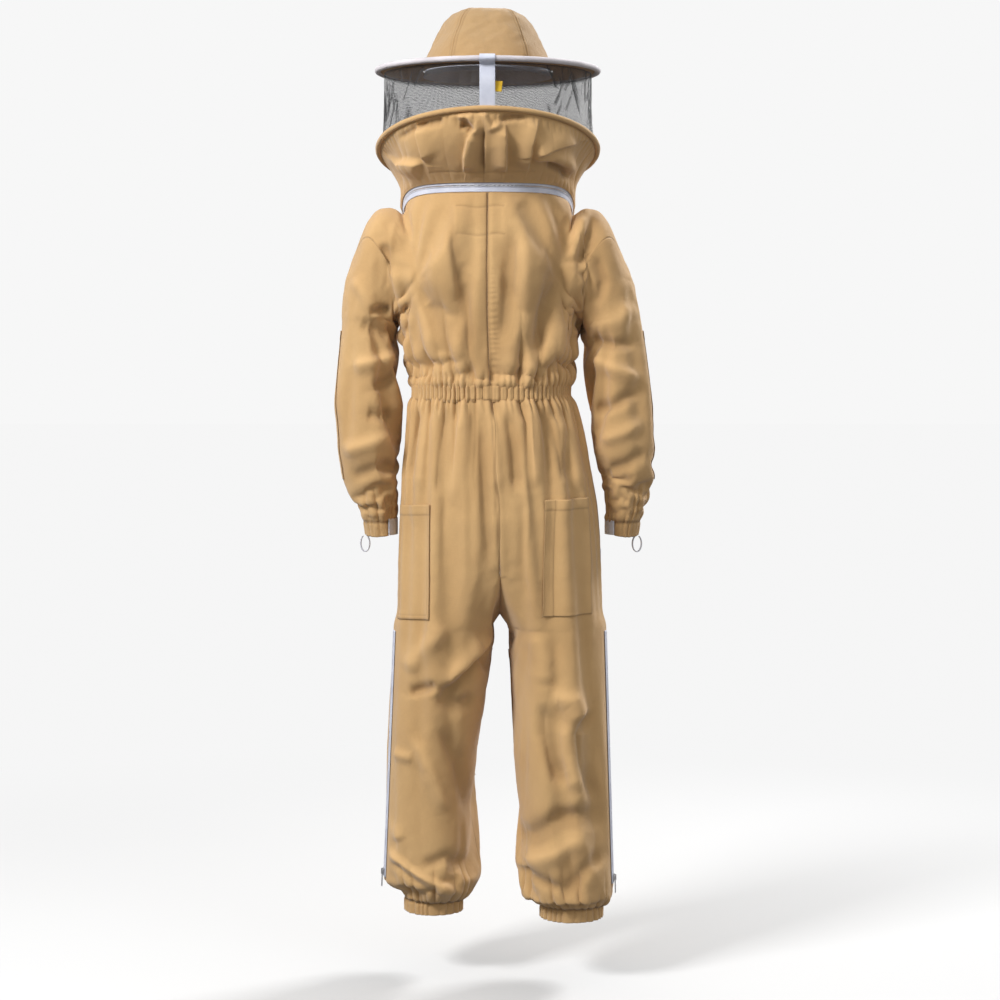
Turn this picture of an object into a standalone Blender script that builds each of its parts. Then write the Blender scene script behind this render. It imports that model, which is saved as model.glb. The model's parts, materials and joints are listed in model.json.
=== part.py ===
"""A beekeeper's coverall with a zip-on round veil hood, shaped as it is when worn.

Metres, +Z up, the front faces -Y and the wearer's left is +X. The origin is on the wearer's spine line
at the height of the shoulders. Heights in this file are above the floor that the wearer stands on.
"""

import math

import bmesh
import bpy
from mathutils import Matrix, Vector

SHOULDER_HEIGHT = 1.50
CLOTH = 0.004  # thickness of a hanging panel with its small folds
PATCH = 0.002  # thickness of a patch or a pocket
PATCH_GAP = 0.0024  # between a panel's nominal surface and a patch on it
SEAM = 0.0008  # half of the gap between two panels that are sewn together

# Height, centre x, half width and y of the back, of the body's rings.
BODY = (
    (0.80, -0.0225, 0.203, 0.128),
    (0.90, -0.0205, 0.199, 0.134),
    (1.00, -0.0185, 0.190, 0.132),
    (1.05, -0.0140, 0.182, 0.128),
    (1.10, -0.0100, 0.166, 0.122),
    (1.156, -0.0040, 0.150, 0.115),
    (1.22, -0.0020, 0.158, 0.122),
    (1.30, 0.0, 0.168, 0.130),
    (1.341, 0.0, 0.172, 0.132),
)
FRONT_LINE = ((0.80, -0.140), (1.405, -0.155))  # height and y, a straight fall from the neck to the crotch
SQUARENESS = 0.85  # 1 makes the body's rings ellipses, less makes them squarer

# Upper rings: half width, then the heights at the front, the side and the back, and y of the back.
CAP_RING = (0.200, 1.370, 1.430, 1.440, 0.132)
SHOULDER_RING = (0.226, 1.388, 1.496, 1.508, 0.127)

NECK_RADIUS = 0.165
NECK_TILT = math.radians(38)
NECK_REAR = (0.120, 1.548)  # y and height of the zip at the back of the neck
NECK_LEVELS_OUT = 2.7  # how fast the zip levels out behind the shoulders

CROTCH_DIP = 0.055
CROTCH_ARC = 130  # degrees of the leg's ring that the crotch curve becomes
LEG_TOP, LEG_BOTTOM, ANKLE_TOP, ANKLE_BOTTOM = 0.70, 0.19, 0.150, 0.125
# Side: centre x, centre y, half width and half depth, at the leg's top, bottom and ankle.
LEGS = {
    1: ((0.084, -0.004, 0.098, 0.116), (0.113, -0.030, 0.092, 0.096), (0.1085, -0.030, 0.058, 0.062)),
    -1: ((-0.133, -0.004, 0.096, 0.116), (-0.150, 0.025, 0.094, 0.096), (-0.164, 0.025, 0.062, 0.065)),
}

SHOULDER_PIVOT = (0.195, -0.010, 1.400)  # x is mirrored for the right
ARMHOLE_SLOPE = math.radians(45)  # how far the armhole faces down
ARMHOLE_REACH = 0.0885  # the body stays this far from the shoulder's pivot
SLEEVE_HEAD = 0.084  # the sleeve's head is a part of a ball about the pivot
# Side: x, y, height, half width and half depth, from the armpit to the wrist.
SLEEVES = {
    1: (
        (0.2325, -0.012, 1.300, 0.048, 0.080),
        (0.2325, -0.010, 1.220, 0.056, 0.074),
        (0.2335, -0.006, 1.134, 0.0655, 0.068),
        (0.2300, -0.006, 1.056, 0.0575, 0.062),
        (0.2250, -0.014, 0.990, 0.049, 0.056),
        (0.2200, -0.024, 0.935, 0.036, 0.048),
        (0.2165, -0.030, 0.900, 0.031, 0.040),
    ),
    -1: (
        (-0.2440, -0.012, 1.300, 0.051, 0.080),
        (-0.2530, -0.010, 1.220, 0.057, 0.074),
        (-0.2610, -0.006, 1.134, 0.062, 0.068),
        (-0.2675, -0.006, 1.056, 0.0585, 0.064),
        (-0.2750, -0.014, 0.990, 0.051, 0.056),
        (-0.2710, -0.024, 0.935, 0.038, 0.048),
        (-0.2670, -0.030, 0.900, 0.032, 0.040),
    ),
}
WRIST_END = 0.022  # the cuff goes on this far past the last ring

HOOP_RADIUS, HOOP_HEIGHT, HOOP_TILT = 0.2125, 1.6226, math.radians(17)
BRIM_RADIUS, BRIM_HEIGHT = 0.2125, 1.775
WIRE = 0.0016  # radius of the steel hoops
BINDING, BINDING_BORE = 0.0048, 0.0024
VEIL_TOP_RADIUS, VEIL_BOTTOM_RADIUS = 0.199, 0.2055
CROWN = ((0.127, 1.7775), (0.115, 1.802), (0.102, 1.828), (0.086, 1.853), (0.070, 1.873), (0.040, 1.888), (0.0, 1.892))

WAIST_SEAM = 1.156
ZIP_BACK, ZIP_TAPE, ZIP_FRONT = (0.0006, 0.0016), (0.0022, 0.0038), (0.0044, 0.0062)  # from the cloth outwards
TAPE_EDGE, TAPE_WIDTH = 0.0015, 0.011
SLIDER_WIDTH, SLIDER_LENGTH = 0.009, 0.014
PULL_WIDTH, PULL_LENGTH, PULL_THICK, PULL_BACK = 0.007, 0.028, 0.0014, 0.0069

COLOURS = {
    "khaki_cloth": ((0.52, 0.34, 0.17), 0.85, 0.0),
    "white_tape": ((0.80, 0.80, 0.84), 0.70, 0.0),
    "white_elastic": ((0.78, 0.78, 0.80), 0.80, 0.0),
    "black_net": ((0.02, 0.02, 0.02), 0.60, 0.0),
    "spring_steel": ((0.45, 0.45, 0.47), 0.35, 1.0),
    "zip_metal": ((0.72, 0.72, 0.74), 0.30, 1.0),
    "yellow_label": ((0.85, 0.55, 0.03), 0.60, 0.0),
}


def mix(a, b, t):
    return a + (b - a) * t


def smooth(t):
    t = min(1.0, max(0.0, t))
    return t * t * (3 - 2 * t)


def power(value, exponent):
    """The exponent of a number's size, with its sign kept."""
    return math.copysign(abs(value) ** exponent, value)


def along(rows, at):
    """The values of a table at a height between its first column's entries, in a straight line between rows."""
    rows = sorted(rows)
    for low, high in zip(rows, rows[1:]):
        if at <= high[0] or high is rows[-1]:
            t = min(1.0, max(0.0, (at - low[0]) / (high[0] - low[0])))
            return [mix(a, b, t) for a, b in zip(low[1:], high[1:])]


def place(x, y, height):
    return Vector((x, y, height - SHOULDER_HEIGHT))


def front_y(height):
    (low, y_low), (high, y_high) = FRONT_LINE
    return mix(y_low, y_high, (height - low) / (high - low))


def ring(centre_x, half_width, y_front, y_back, angle, squareness=SQUARENESS):
    """x and y on a squarish ring, at an angle from the front towards the wearer's left."""
    x = centre_x + half_width * power(math.sin(angle), squareness)
    y = (y_front + y_back) / 2 - (y_back - y_front) / 2 * power(math.cos(angle), squareness)
    return x, y


def body_point(height, angle):
    centre_x, half_width, y_back = along(BODY, height)
    return place(*ring(centre_x, half_width, front_y(height), y_back, angle), height)


def upper_ring_point(spec, angle):
    half_width, front, side, back, y_back = spec
    c = math.cos(angle)
    height = mix(side, front if c > 0 else back, abs(c))
    return place(*ring(0.0, half_width, front_y(front), y_back, angle, 1.0), height)


def neck_point(angle):
    """The neck zip's line: a tilted circle in front, which levels out behind the shoulders."""
    c = math.cos(angle)
    front_y_line, front_height = FRONT_LINE[1][1], FRONT_LINE[1][0]
    centre_y = front_y_line + NECK_RADIUS * math.cos(NECK_TILT)
    centre_height = front_height + NECK_RADIUS * math.sin(NECK_TILT)
    x = NECK_RADIUS * math.sin(angle)
    if c > 0:
        forward = NECK_RADIUS * c
        return place(x, centre_y - forward * math.cos(NECK_TILT), centre_height - forward * math.sin(NECK_TILT))
    rise = 1 - (1 + c) ** NECK_LEVELS_OUT
    return place(x, mix(centre_y, NECK_REAR[0], -c), mix(centre_height, NECK_REAR[1], rise))


def neck_axis():
    """The direction that the neck zip's front arc turns about."""
    return Vector((0, -math.sin(NECK_TILT), math.cos(NECK_TILT)))


def neck_up(angle):
    """The way across the zip at an angle: about the tilted circle's axis in front, straight up behind."""
    turned = math.degrees(math.acos(math.cos(angle)))
    return neck_axis().lerp(Vector((0, 0, 1)), smooth((turned - 80) / 60)).normalized()


def upper_rows(angle, edge):
    """The points of one column, from the armpit's height to the neck zip."""
    return [
        body_point(BODY[-1][0], angle),
        upper_ring_point(CAP_RING, angle),
        upper_ring_point(SHOULDER_RING, angle),
        neck_point(angle) - neck_up(angle) * edge,
    ]


def leg_values(side, height):
    top, bottom, ankle = LEGS[side]
    return along(((ANKLE_TOP, *ankle), (LEG_BOTTOM, *bottom), (LEG_TOP, *top)), height)


def leg_point(side, height, angle):
    """A point of a leg's ring, at an angle from the front towards the outer side."""
    x, y, half_width, half_depth = leg_values(side, height)
    return place(x + side * half_width * math.sin(angle), y - half_depth * math.cos(angle), height)


def crotch_point(side, share):
    """The curve under the crotch, from the back's centre line to the front's."""
    crotch = BODY[0]
    y = mix(crotch[3], front_y(crotch[0]), share)
    return place(crotch[1] + side * SEAM, y, crotch[0] - CROTCH_DIP * math.sin(math.pi * share))


def hoop_point(angle, radius, lift=0.0):
    """A point in the lower hoop's tilted plane."""
    forward = radius * math.cos(angle)
    normal = Vector((0, -math.sin(HOOP_TILT), math.cos(HOOP_TILT)))
    flat = place(
        radius * math.sin(angle), -forward * math.cos(HOOP_TILT), HOOP_HEIGHT - forward * math.sin(HOOP_TILT)
    )
    return flat + normal * lift


# Mesh tools


def material(name):
    found = bpy.data.materials.get(name)
    if found:
        return found
    colour, roughness, metallic = COLOURS[name]
    made = bpy.data.materials.new(name)
    made.use_nodes = True
    shader = made.node_tree.nodes["Principled BSDF"]
    shader.inputs["Base Color"].default_value = (*colour, 1)
    shader.inputs["Roughness"].default_value = roughness
    shader.inputs["Metallic"].default_value = metallic
    return made


def mesh_object(name, points, faces, slot, outward=0.0, closed=False):
    """An object from points and faces. outward moves it along its normals."""
    mesh = bpy.data.meshes.new(name)
    mesh.from_pydata([tuple(p) for p in points], [], faces)
    work = bmesh.new()
    work.from_mesh(mesh)
    if closed:
        bmesh.ops.recalc_face_normals(work, faces=work.faces[:])
    work.normal_update()
    for vertex in work.verts:
        vertex.co += vertex.normal * outward
    work.to_mesh(mesh)
    work.free()
    mesh.shade_smooth()
    mesh.set_sharp_from_angle(angle=math.radians(40))
    made = bpy.data.objects.new(name, mesh)
    made.data.materials.append(material(slot))
    bpy.context.scene.collection.objects.link(made)
    return made


def thicken(made, thickness, offset=-1.0):
    """Gives a sheet its thickness: inwards for offset -1, outwards for 1."""
    modifier = made.modifiers.new("thickness", "SOLIDIFY")
    modifier.thickness = thickness
    modifier.offset = offset
    modifier.use_even_offset = True
    modifier.use_quality_normals = True
    return made


def grid_faces(rows, columns, wrap=False, first=0):
    faces = []
    for i in range(rows - 1):
        for j in range(columns if wrap else columns - 1):
            a, b = first + i * columns + j, first + i * columns + (j + 1) % columns
            faces.append((a, b, b + columns, a + columns))
    return faces


def sheet(name, rows, slot, thickness=CLOTH, offset=-1.0, outward=0.0, wrap=False):
    """A sheet through rows of points, from the lowest row up, each row running counter-clockwise from above."""
    points = [p for row in rows for p in row]
    faces = grid_faces(len(rows), len(rows[0]), wrap)
    return thicken(mesh_object(name, points, faces, slot, outward), thickness, offset)


def steps(start, end, count):
    return [mix(start, end, i / (count - 1)) for i in range(count)]


def turned_profile(name, profile, frame, slot, segments=36):
    """A closed profile of (radius, height) turned about a frame's Z axis."""
    points = [
        frame @ Vector((r * math.sin(a), -r * math.cos(a), z))
        for a in (2 * math.pi * i / segments for i in range(segments))
        for r, z in profile
    ]
    n = len(profile)
    faces = []
    for i in range(segments):
        for j in range(n):
            a, b = i * n + j, i * n + (j + 1) % n
            c, d = ((i + 1) % segments) * n + (j + 1) % n, ((i + 1) % segments) * n + j
            faces.append((a, d, c, b))
    return mesh_object(name, points, faces, slot, closed=True)


def block(name, low, high, frame, slot, bevel=0.0):
    """A box between two corners in a frame, with its edges rounded."""
    made = mesh_object(name, [], [], slot)
    work = bmesh.new()
    size = Vector(high) - Vector(low)
    centre = (Vector(high) + Vector(low)) / 2
    bmesh.ops.create_cube(work, size=1.0, matrix=frame @ Matrix.Translation(centre) @ Matrix.Diagonal((*size, 1)))
    if bevel:
        bmesh.ops.bevel(work, geom=work.edges[:], offset=bevel, segments=1, affect="EDGES")
    work.to_mesh(made.data)
    work.free()
    return made


def boolean(made, tool, operation):
    modifier = made.modifiers.new(operation.lower(), "BOOLEAN")
    modifier.operation = operation
    modifier.object = tool
    modifier.solver = "EXACT"
    tool.hide_render = True
    tool.display_type = "WIRE"


def frame_at(origin, x_axis, z_axis):
    """A frame with Z along z_axis, X close to x_axis."""
    z = Vector(z_axis).normalized()
    y = z.cross(Vector(x_axis)).normalized()
    made = Matrix((y.cross(z), y, z)).transposed().to_4x4()
    made.translation = origin
    return made


# The coverall's upper half


def armhole_cutter(side):
    x, y, height = SHOULDER_PIVOT
    cutter = mesh_object(f"armhole_cutter_{side}", [], [], "khaki_cloth")
    work = bmesh.new()
    bmesh.ops.create_icosphere(
        work, subdivisions=3, radius=ARMHOLE_REACH, matrix=Matrix.Translation(place(side * x, y, height))
    )
    work.to_mesh(cutter.data)
    work.free()
    return cutter


def upper_panel(name, start, end, cutter):
    """A quarter of the upper half, between two angles in degrees."""
    angles = [math.radians(a) for a in steps(start, end, 9)]
    heights = (WAIST_SEAM + 0.004, 1.22, 1.30)
    rows = [[body_point(h, a) for a in angles] for h in heights]
    columns = [upper_rows(a, 0.013) for a in angles]
    rows += [list(row) for row in zip(*columns)]
    made = sheet(name, rows, "khaki_cloth")
    boolean(made, cutter, "DIFFERENCE")
    return made


def upper_half():
    cutters = {side: armhole_cutter(side) for side in (1, -1)}
    zip_half = 1.5  # degrees that the front zip takes
    seam = 0.8
    upper_panel("front_panel_left", zip_half, 90 - seam, cutters[1])
    upper_panel("back_panel_left", 90 + seam, 180 - seam, cutters[1])
    upper_panel("back_panel_right", 180 + seam, 270 - seam, cutters[-1])
    upper_panel("front_panel_right", 270 + seam, 360 - zip_half, cutters[-1])


def waist_band():
    """The elastic across the back of the waist, under its stitched-on casing."""
    angles = [math.radians(a) for a in steps(96, 264, 17)]
    for name, half, outward, slot in (
        ("waist_elastic", 0.0125, 0.0024, "white_elastic"),
        ("waist_casing", 0.0165, 0.0046, "khaki_cloth"),
    ):
        rows = [[body_point(WAIST_SEAM + z, a) for a in angles] for z in (-half, 0, half)]
        sheet(name, rows, slot, 0.0016, 1.0, outward)


# The trousers


def trouser_point(side, angle_share, row, inner):
    """A point of a leg's side of the trousers. row is a height above the crotch, or a share (as text) below it.

    angle_share goes from the front's centre line round the outside to the back's, or, for the inner part,
    from the back's centre line under the crotch to the front's.
    """
    half_arc = CROTCH_ARC / 2
    if inner:
        angle = math.radians(mix(270 - half_arc, 270 + half_arc, angle_share))
        top = crotch_point(side, angle_share)
    else:
        angle = math.radians(mix(half_arc - 90, 270 - half_arc, angle_share))
        top = body_point(BODY[0][0], side * math.pi * angle_share)
        if angle_share in (0.0, 1.0):
            top.x = BODY[0][1] + side * SEAM
    return top.lerp(leg_point(side, LEG_TOP, angle), smooth(row)) if row <= 1 else leg_point(side, row - 1, angle)


def trouser_panel(name, side, shares, inner_shares):
    """A front or back panel: the seat and the outer leg, and the inner leg which joins it below the crotch.

    Its columns run counter-clockwise from above on the left leg, and clockwise on the right.
    """
    seat = (0.86, 0.93, 1.00, 1.05, 1.10, WAIST_SEAM - 0.003)
    ankle = (ANKLE_BOTTOM, ANKLE_TOP, LEG_BOTTOM)
    points, index = [], {}

    def add(key, point):
        index[key] = len(points)
        points.append(point)

    columns = [(share, False) for share in shares] + [(share, True) for share in inner_shares]
    if inner_shares[-1] == 1.0:  # a front panel starts on the inner leg
        columns = [(share, True) for share in inner_shares] + [(share, False) for share in shares[1:]]
    else:
        columns = [(share, False) for share in shares] + [(share, True) for share in inner_shares[1:]]
    for j, (share, inner) in enumerate(columns):
        levels = [1 + max(h, ANKLE_TOP) for h in ankle] + [1.0, 0.62, 0.30, 0.0]
        for i, level in enumerate(levels):
            point = trouser_point(side, share, level, inner)
            if i == 0:
                point.z = ANKLE_BOTTOM - SHOULDER_HEIGHT
            add((i, j), point)
        centre = share in (0.0, 1.0)
        if inner and not centre:
            continue
        angle = side * math.pi * ((1.0 - share) if inner else share)
        for i, height in enumerate(seat, len(levels)):
            point = body_point(height, angle)
            if centre:
                point.x = along(BODY, height)[0] + side * SEAM
                if math.cos(angle) > 0:
                    point.x += side * 0.0057
            add((i, j), point)
    faces = []
    for i in range(len(levels) + len(seat) - 1):
        for j in range(len(columns) - 1):
            corners = [(i, j), (i, j + 1), (i + 1, j + 1), (i + 1, j)]
            if all(c in index for c in corners):
                face = tuple(index[c] for c in corners)
                faces.append(face if side > 0 else face[::-1])
    return thicken(mesh_object(name, points, faces, "khaki_cloth"), CLOTH)


def trousers():
    for side, word in ((1, "left"), (-1, "right")):
        seam, inner_seam = 0.004, 0.007
        trouser_panel(f"trouser_front_{word}", side, steps(0.0, 0.5 - seam, 8), steps(0.5 + inner_seam, 1.0, 6))
        trouser_panel(f"trouser_back_{word}", side, steps(0.5 + seam, 1.0, 8), steps(0.0, 0.5 - inner_seam, 6))
        angles = [2 * math.pi * i / 24 for i in range(24)]
        rows = [[leg_point(side, ANKLE_TOP, a) for a in angles] for _ in range(2)]
        for row, height in zip(rows, (ANKLE_BOTTOM + 0.004, ANKLE_TOP - 0.007)):
            for point in row:
                point.z = height - SHOULDER_HEIGHT
        if side < 0:
            rows = [row[::-1] for row in rows]
        sheet(f"ankle_elastic_{word}", rows, "white_elastic", 0.0015, -1.0, -0.0052, wrap=True)


def leg_patch(name, side, low, high, start, end, columns, stand_off=0.0):
    """A patch on a leg, between two heights and two angles in degrees. stand_off opens its top edge."""
    angles = [math.radians(a) for a in steps(start, end, columns)]
    rows = [[leg_point(side, h, a) for a in angles] for h in steps(low, high, 3)]
    if side < 0:
        rows = [row[::-1] for row in rows]
    made = sheet(name, rows, "khaki_cloth", PATCH, 1.0, PATCH_GAP)
    if stand_off:
        centre = Vector(leg_values(side, high)[:2]).to_3d()
        for vertex in made.data.vertices[-columns:]:
            out = vertex.co - centre
            vertex.co += Vector((out.x, out.y, 0)).normalized() * stand_off
    return made


def body_patch(name, low, high, start, end, columns, stand_off):
    """A pocket on the body, between two heights and two angles in degrees, with its top edge standing open."""
    angles = [math.radians(a) for a in steps(start, end, columns)]
    rows = [[body_point(h, a) for a in angles] for h in steps(low, high, 4)]
    made = sheet(name, rows, "khaki_cloth", PATCH, 1.0, PATCH_GAP)
    for vertex in made.data.vertices[-columns:]:
        vertex.co += Vector((vertex.co.x, vertex.co.y * 2, 0)).normalized() * stand_off
    return made


def patches():
    """Pockets, knee patches and the size label in the right side seam."""
    angle = math.radians(268)
    frame = Matrix.Translation(body_point(0.835, angle) + Vector((-0.0052, 0, 0)))
    block("side_label", (-0.0008, -0.008, -0.013), (0.0008, 0.008, 0.013), frame, "white_tape")
    leg_patch("knee_patch_left", 1, 0.385, 0.645, -80, 80, 12)
    leg_patch("knee_patch_right", -1, 0.385, 0.645, -80, 80, 12)
    body_patch("rear_pocket_left", 0.80, 0.945, 113, 150, 5, 0.007)
    body_patch("rear_pocket_right", 0.80, 0.950, 210, 247, 5, 0.007)
    body_patch("chest_pocket", 1.215, 1.335, 20, 58, 5, 0.007)


# Sleeves


def sleeve_rings(side):
    """(centre, direction, half width, half depth) of each ring, from the sleeve's head to the end of the cuff."""
    pivot = place(side * SHOULDER_PIVOT[0], *SHOULDER_PIVOT[1:])
    down = Vector((side * math.cos(ARMHOLE_SLOPE), 0, -math.sin(ARMHOLE_SLOPE)))
    rings = []
    for turn in (38, 20, 0):
        turned = math.radians(turn)
        radius = SLEEVE_HEAD * math.cos(turned)
        rings.append((pivot - down * SLEEVE_HEAD * math.sin(turned), down, radius, radius))
    centres = [place(*row[:3]) for row in SLEEVES[side]]
    bend = Vector((side * math.cos(math.radians(70)), 0, -math.sin(math.radians(70))))
    rings.append((pivot.lerp(centres[0], 0.5) + Vector((side * 0.008, 0, 0.002)), bend, 0.060, 0.082))
    for i, row in enumerate(SLEEVES[side]):
        before, after = centres[max(i - 1, 0)], centres[min(i + 1, len(centres) - 1)]
        rings.append((centres[i], (after - before).normalized(), *row[3:]))
    centre, direction, half_width, half_depth = rings[-1]
    rings.append((centre + direction * WRIST_END, direction, half_width, half_depth))
    return rings


def sleeve_ring_points(side, station, angles, grow=0.0):
    """Points round a sleeve's ring, at angles from the front towards the outer side."""
    centre, direction, half_width, half_depth = station
    back = Vector((0, 1, 0))
    out = back.cross(direction).normalized() * -side
    out = out if out.x * side > 0 else -out
    back = (back - direction * back.dot(direction)).normalized()
    return [
        centre + out * (half_width + grow) * math.sin(a) - back * (half_depth + grow) * math.cos(a) for a in angles
    ]


def sleeve(side, word):
    stations = sleeve_rings(side)
    angles = [2 * math.pi * i / 20 for i in range(20)]
    rows = [sleeve_ring_points(side, s, angles) for s in reversed(stations)]
    if side < 0:
        rows = [row[::-1] for row in rows]
    sheet(f"sleeve_{word}", rows, "khaki_cloth", 0.003, wrap=True)

    last, end = stations[-2], stations[-1]
    middle = [(last[0].lerp(end[0], t), *end[1:]) for t in (0.85, 0.25)]
    rows = [sleeve_ring_points(side, s, angles, -0.0042) for s in middle]
    if side < 0:
        rows = [row[::-1] for row in rows]
    sheet(f"wrist_elastic_{word}", rows, "white_elastic", 0.0015, wrap=True)

    strap = [math.radians(a) for a in steps(215, 335, 6)]
    edges = [(last[0].lerp(end[0], t), *end[1:]) for t in (0.98, 0.02)]
    rows = [sleeve_ring_points(side, s, strap, 0.0012) for s in edges]
    if side < 0:
        rows = [row[::-1] for row in rows]
    sheet(f"wrist_strap_{word}", rows, "white_elastic", 0.0016, 1.0)

    patch_angles = [math.radians(a) for a in steps(20, 110, 6)]
    rows = []
    for station in stations[8:4:-1]:
        rows.append(sleeve_ring_points(side, station, patch_angles, 0.0028))
    if side < 0:
        rows = [row[::-1] for row in rows]
    sheet(f"elbow_patch_{word}", rows, "khaki_cloth", PATCH, 1.0)
    thumb_loop(side, word, end)


def thumb_loop(side, word, end):
    """A loop of flat elastic that hangs from the cuff's outer edge."""
    root = sleeve_ring_points(side, end, [math.radians(100)], -0.002)[0] + Vector((0, 0, -0.0015))
    frame = frame_at(root, Vector((side * 0.35, 1, 0)), Vector((0, 0, 1)))
    profile, width = [], 0.0045
    for i in range(15):
        a = math.radians(mix(28, 332, i / 14))
        profile.append(Vector((0.0095 * math.sin(a), 0, 0.016 * math.cos(a) - 0.0165)))
    points, faces = [], []
    for point in profile:
        points += [frame @ (point + Vector((0, y, 0))) for y in (-width / 2, width / 2)]
    for i in range(len(profile) - 1):
        faces.append((2 * i, 2 * i + 1, 2 * i + 3, 2 * i + 2))
    thicken(mesh_object(f"thumb_loop_{word}", points, faces, "white_elastic"), 0.0014, 0.0)


# Zips


def zip_frame(top, bottom, outward):
    """A frame on the cloth at the top of a straight zip: Z runs up it, Y faces outwards."""
    up = (top - bottom).normalized()
    out = (outward - up * outward.dot(up)).normalized()
    made = Matrix((out.cross(up), out, up)).transposed().to_4x4()
    made.translation = top
    return made


def prism(name, outline, low, high, frame, hole=()):
    """A flat piece in a frame's XZ plane, from low to high along its Y. A hole has as many corners as the outline."""
    loops = [outline, hole] if hole else [outline]
    points, n = [], len(outline)
    for loop in loops:
        points += [frame @ Vector((x, y, z)) for y in (low, high) for x, z in loop]
    faces = []
    for start in range(0, len(points), 2 * n):
        faces += [(start + i, start + (i + 1) % n, start + n + (i + 1) % n, start + n + i) for i in range(n)]
    for end in (0, n):
        if hole:
            faces += [(end + i, end + (i + 1) % n, end + (i + 1) % n + 2 * n, end + i + 2 * n) for i in range(n)]
        else:
            faces.append(tuple(end + i for i in range(n)))
    return mesh_object(name, points, faces, "zip_metal", closed=True)


def cut_corners(x, low, high, cut):
    """The outline of a plate with its corners cut off."""
    right = [(x - cut, low), (x, low + cut), (x, high - cut), (x - cut, high)]
    return right + [(-px, pz) for px, pz in reversed(right)]


def slider(name, frame):
    """A zip slider at a frame's origin: two plates, the post that splits the teeth, and the bridge for the pull."""
    half, end = SLIDER_WIDTH / 2, SLIDER_LENGTH / 2
    made = prism(name, cut_corners(half, -end, end, 0.002), *ZIP_FRONT, frame)
    back = prism(name + "_back", cut_corners(half, -end, end, 0.002), *ZIP_BACK, frame)
    post = block(name + "_post", (-0.001, 0.001, 0.0035), (0.001, 0.005, 0.0065), frame, "zip_metal")
    sideways = frame @ Matrix.Rotation(math.pi / 2, 4, "Z")
    arch = [(0.0058, -0.0055), (0.0102, -0.0055), (0.0102, 0.0055), (0.0058, 0.0055)]
    arch += [(0.0058, 0.0039), (0.0090, 0.0039), (0.0090, -0.0039), (0.0058, -0.0039)]
    bridge = prism(name + "_bridge", arch, -0.0012, 0.0012, sideways)
    for part in (post, back, bridge):
        boolean(made, part, "UNION")
    return made


def pull(name, frame):
    """A pull tab, whose eye is round a slider's bridge. It lies along the zip."""
    outline = cut_corners(PULL_WIDTH / 2, -0.003 - PULL_LENGTH, 0.0032, 0.0015)
    hole = cut_corners(0.0018, -0.0105, 0.0016, 0.0004)
    return prism(name, outline, PULL_BACK, PULL_BACK + PULL_THICK, frame, hole)


def front_zip():
    top, bottom = place(0, front_y(1.385), 1.385), place(0, front_y(0.815), 0.815)
    lean = BODY[0][1]
    bottom.x = lean
    frame = zip_frame(top, bottom, Vector((0, -1, 0)))
    length = (top - bottom).length
    for side, word in ((-1, "left"), (1, "right")):
        low, high = sorted((side * TAPE_EDGE, side * (TAPE_EDGE + TAPE_WIDTH)))
        block(f"front_zip_tape_{word}", (low, ZIP_TAPE[0], -length), (high, ZIP_TAPE[1], 0), frame, "white_tape")
    start = frame @ Matrix.Translation((0, 0, -0.020))
    slider("front_zip_slider", start)
    pull("front_zip_pull", start)


def leg_zip(side, word):
    angle = math.radians(103)
    outward = Vector((side * math.sin(angle), -math.cos(angle), 0))
    top, bottom = leg_point(side, LEG_TOP - 0.01, angle), leg_point(side, LEG_BOTTOM + 0.004, angle)
    frame = zip_frame(top + outward * 0.0006, bottom + outward * 0.0006, outward)
    length, half = (top - bottom).length, TAPE_EDGE + 0.009
    name = f"leg_zip_{word}"
    low, high = (-half, ZIP_TAPE[0], -length), (half, ZIP_TAPE[1], 0)
    made = block(name, low, high, frame, "white_tape")
    slit = block(
        name + "_slit", (-TAPE_EDGE, 0, -length - 0.01), (TAPE_EDGE, 0.01, -0.008), frame, "white_tape"
    )
    boolean(made, slit, "DIFFERENCE")
    start = frame @ Matrix.Translation((0, 0, 0.012 - length))
    slider(f"leg_zip_slider_{word}", start)
    pull(f"leg_zip_pull_{word}", start)


def neck_tape(name, low, high):
    """One tape of the neck zip, between two distances above its line."""
    angles = [math.radians(a) for a in steps(2.5, 357.5, 48)]
    rows = [[neck_point(a) + neck_up(a) * z for a in angles] for z in (low, high)]
    sheet(name, rows, "white_tape", ZIP_TAPE[1] - ZIP_TAPE[0], 0.0)


def neck_slider(side, word):
    """A slider on the neck zip's front arc. Its own Z runs along the zip, towards the front's centre."""
    angle = side * math.radians(6)
    point = neck_point(angle)
    centre = neck_point(math.pi / 2) * 0.5 + neck_point(-math.pi / 2) * 0.5
    outward = (point - centre).normalized()
    tangent = neck_axis().cross(outward) * -side
    x_axis = outward.cross(tangent)
    frame = Matrix((x_axis, outward, tangent)).transposed().to_4x4()
    frame.translation = point - outward * (ZIP_TAPE[0] + ZIP_TAPE[1]) / 2
    slider(f"neck_zip_slider_{word}", frame)
    pull(f"neck_zip_pull_{word}", frame)


def zips():
    front_zip()
    for side, word in ((1, "left"), (-1, "right")):
        leg_zip(side, word)
        neck_slider(side, word)
    neck_tape("neck_zip_lower_tape", -0.0115, -TAPE_EDGE)
    neck_tape("neck_zip_upper_tape", TAPE_EDGE, 0.0115)


# The hood


def binding(name, radius, frame, slot):
    """A bias binding folded round a hoop: a ring with a C-shaped section, open towards the middle."""
    arc = [math.radians(a) for a in steps(-150, 150, 7)]
    profile = [(radius + BINDING * math.cos(a), BINDING * math.sin(a)) for a in arc]
    profile += [(radius + BINDING_BORE * math.cos(a), BINDING_BORE * math.sin(a)) for a in reversed(arc)]
    turned_profile(name, profile[::-1], frame, slot)


def hoop(name, radius, frame):
    profile = [(radius + WIRE * math.cos(a), WIRE * math.sin(a)) for a in (math.pi * i / 3 for i in range(6))]
    turned_profile(name, profile[::-1], frame, "spring_steel")


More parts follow.
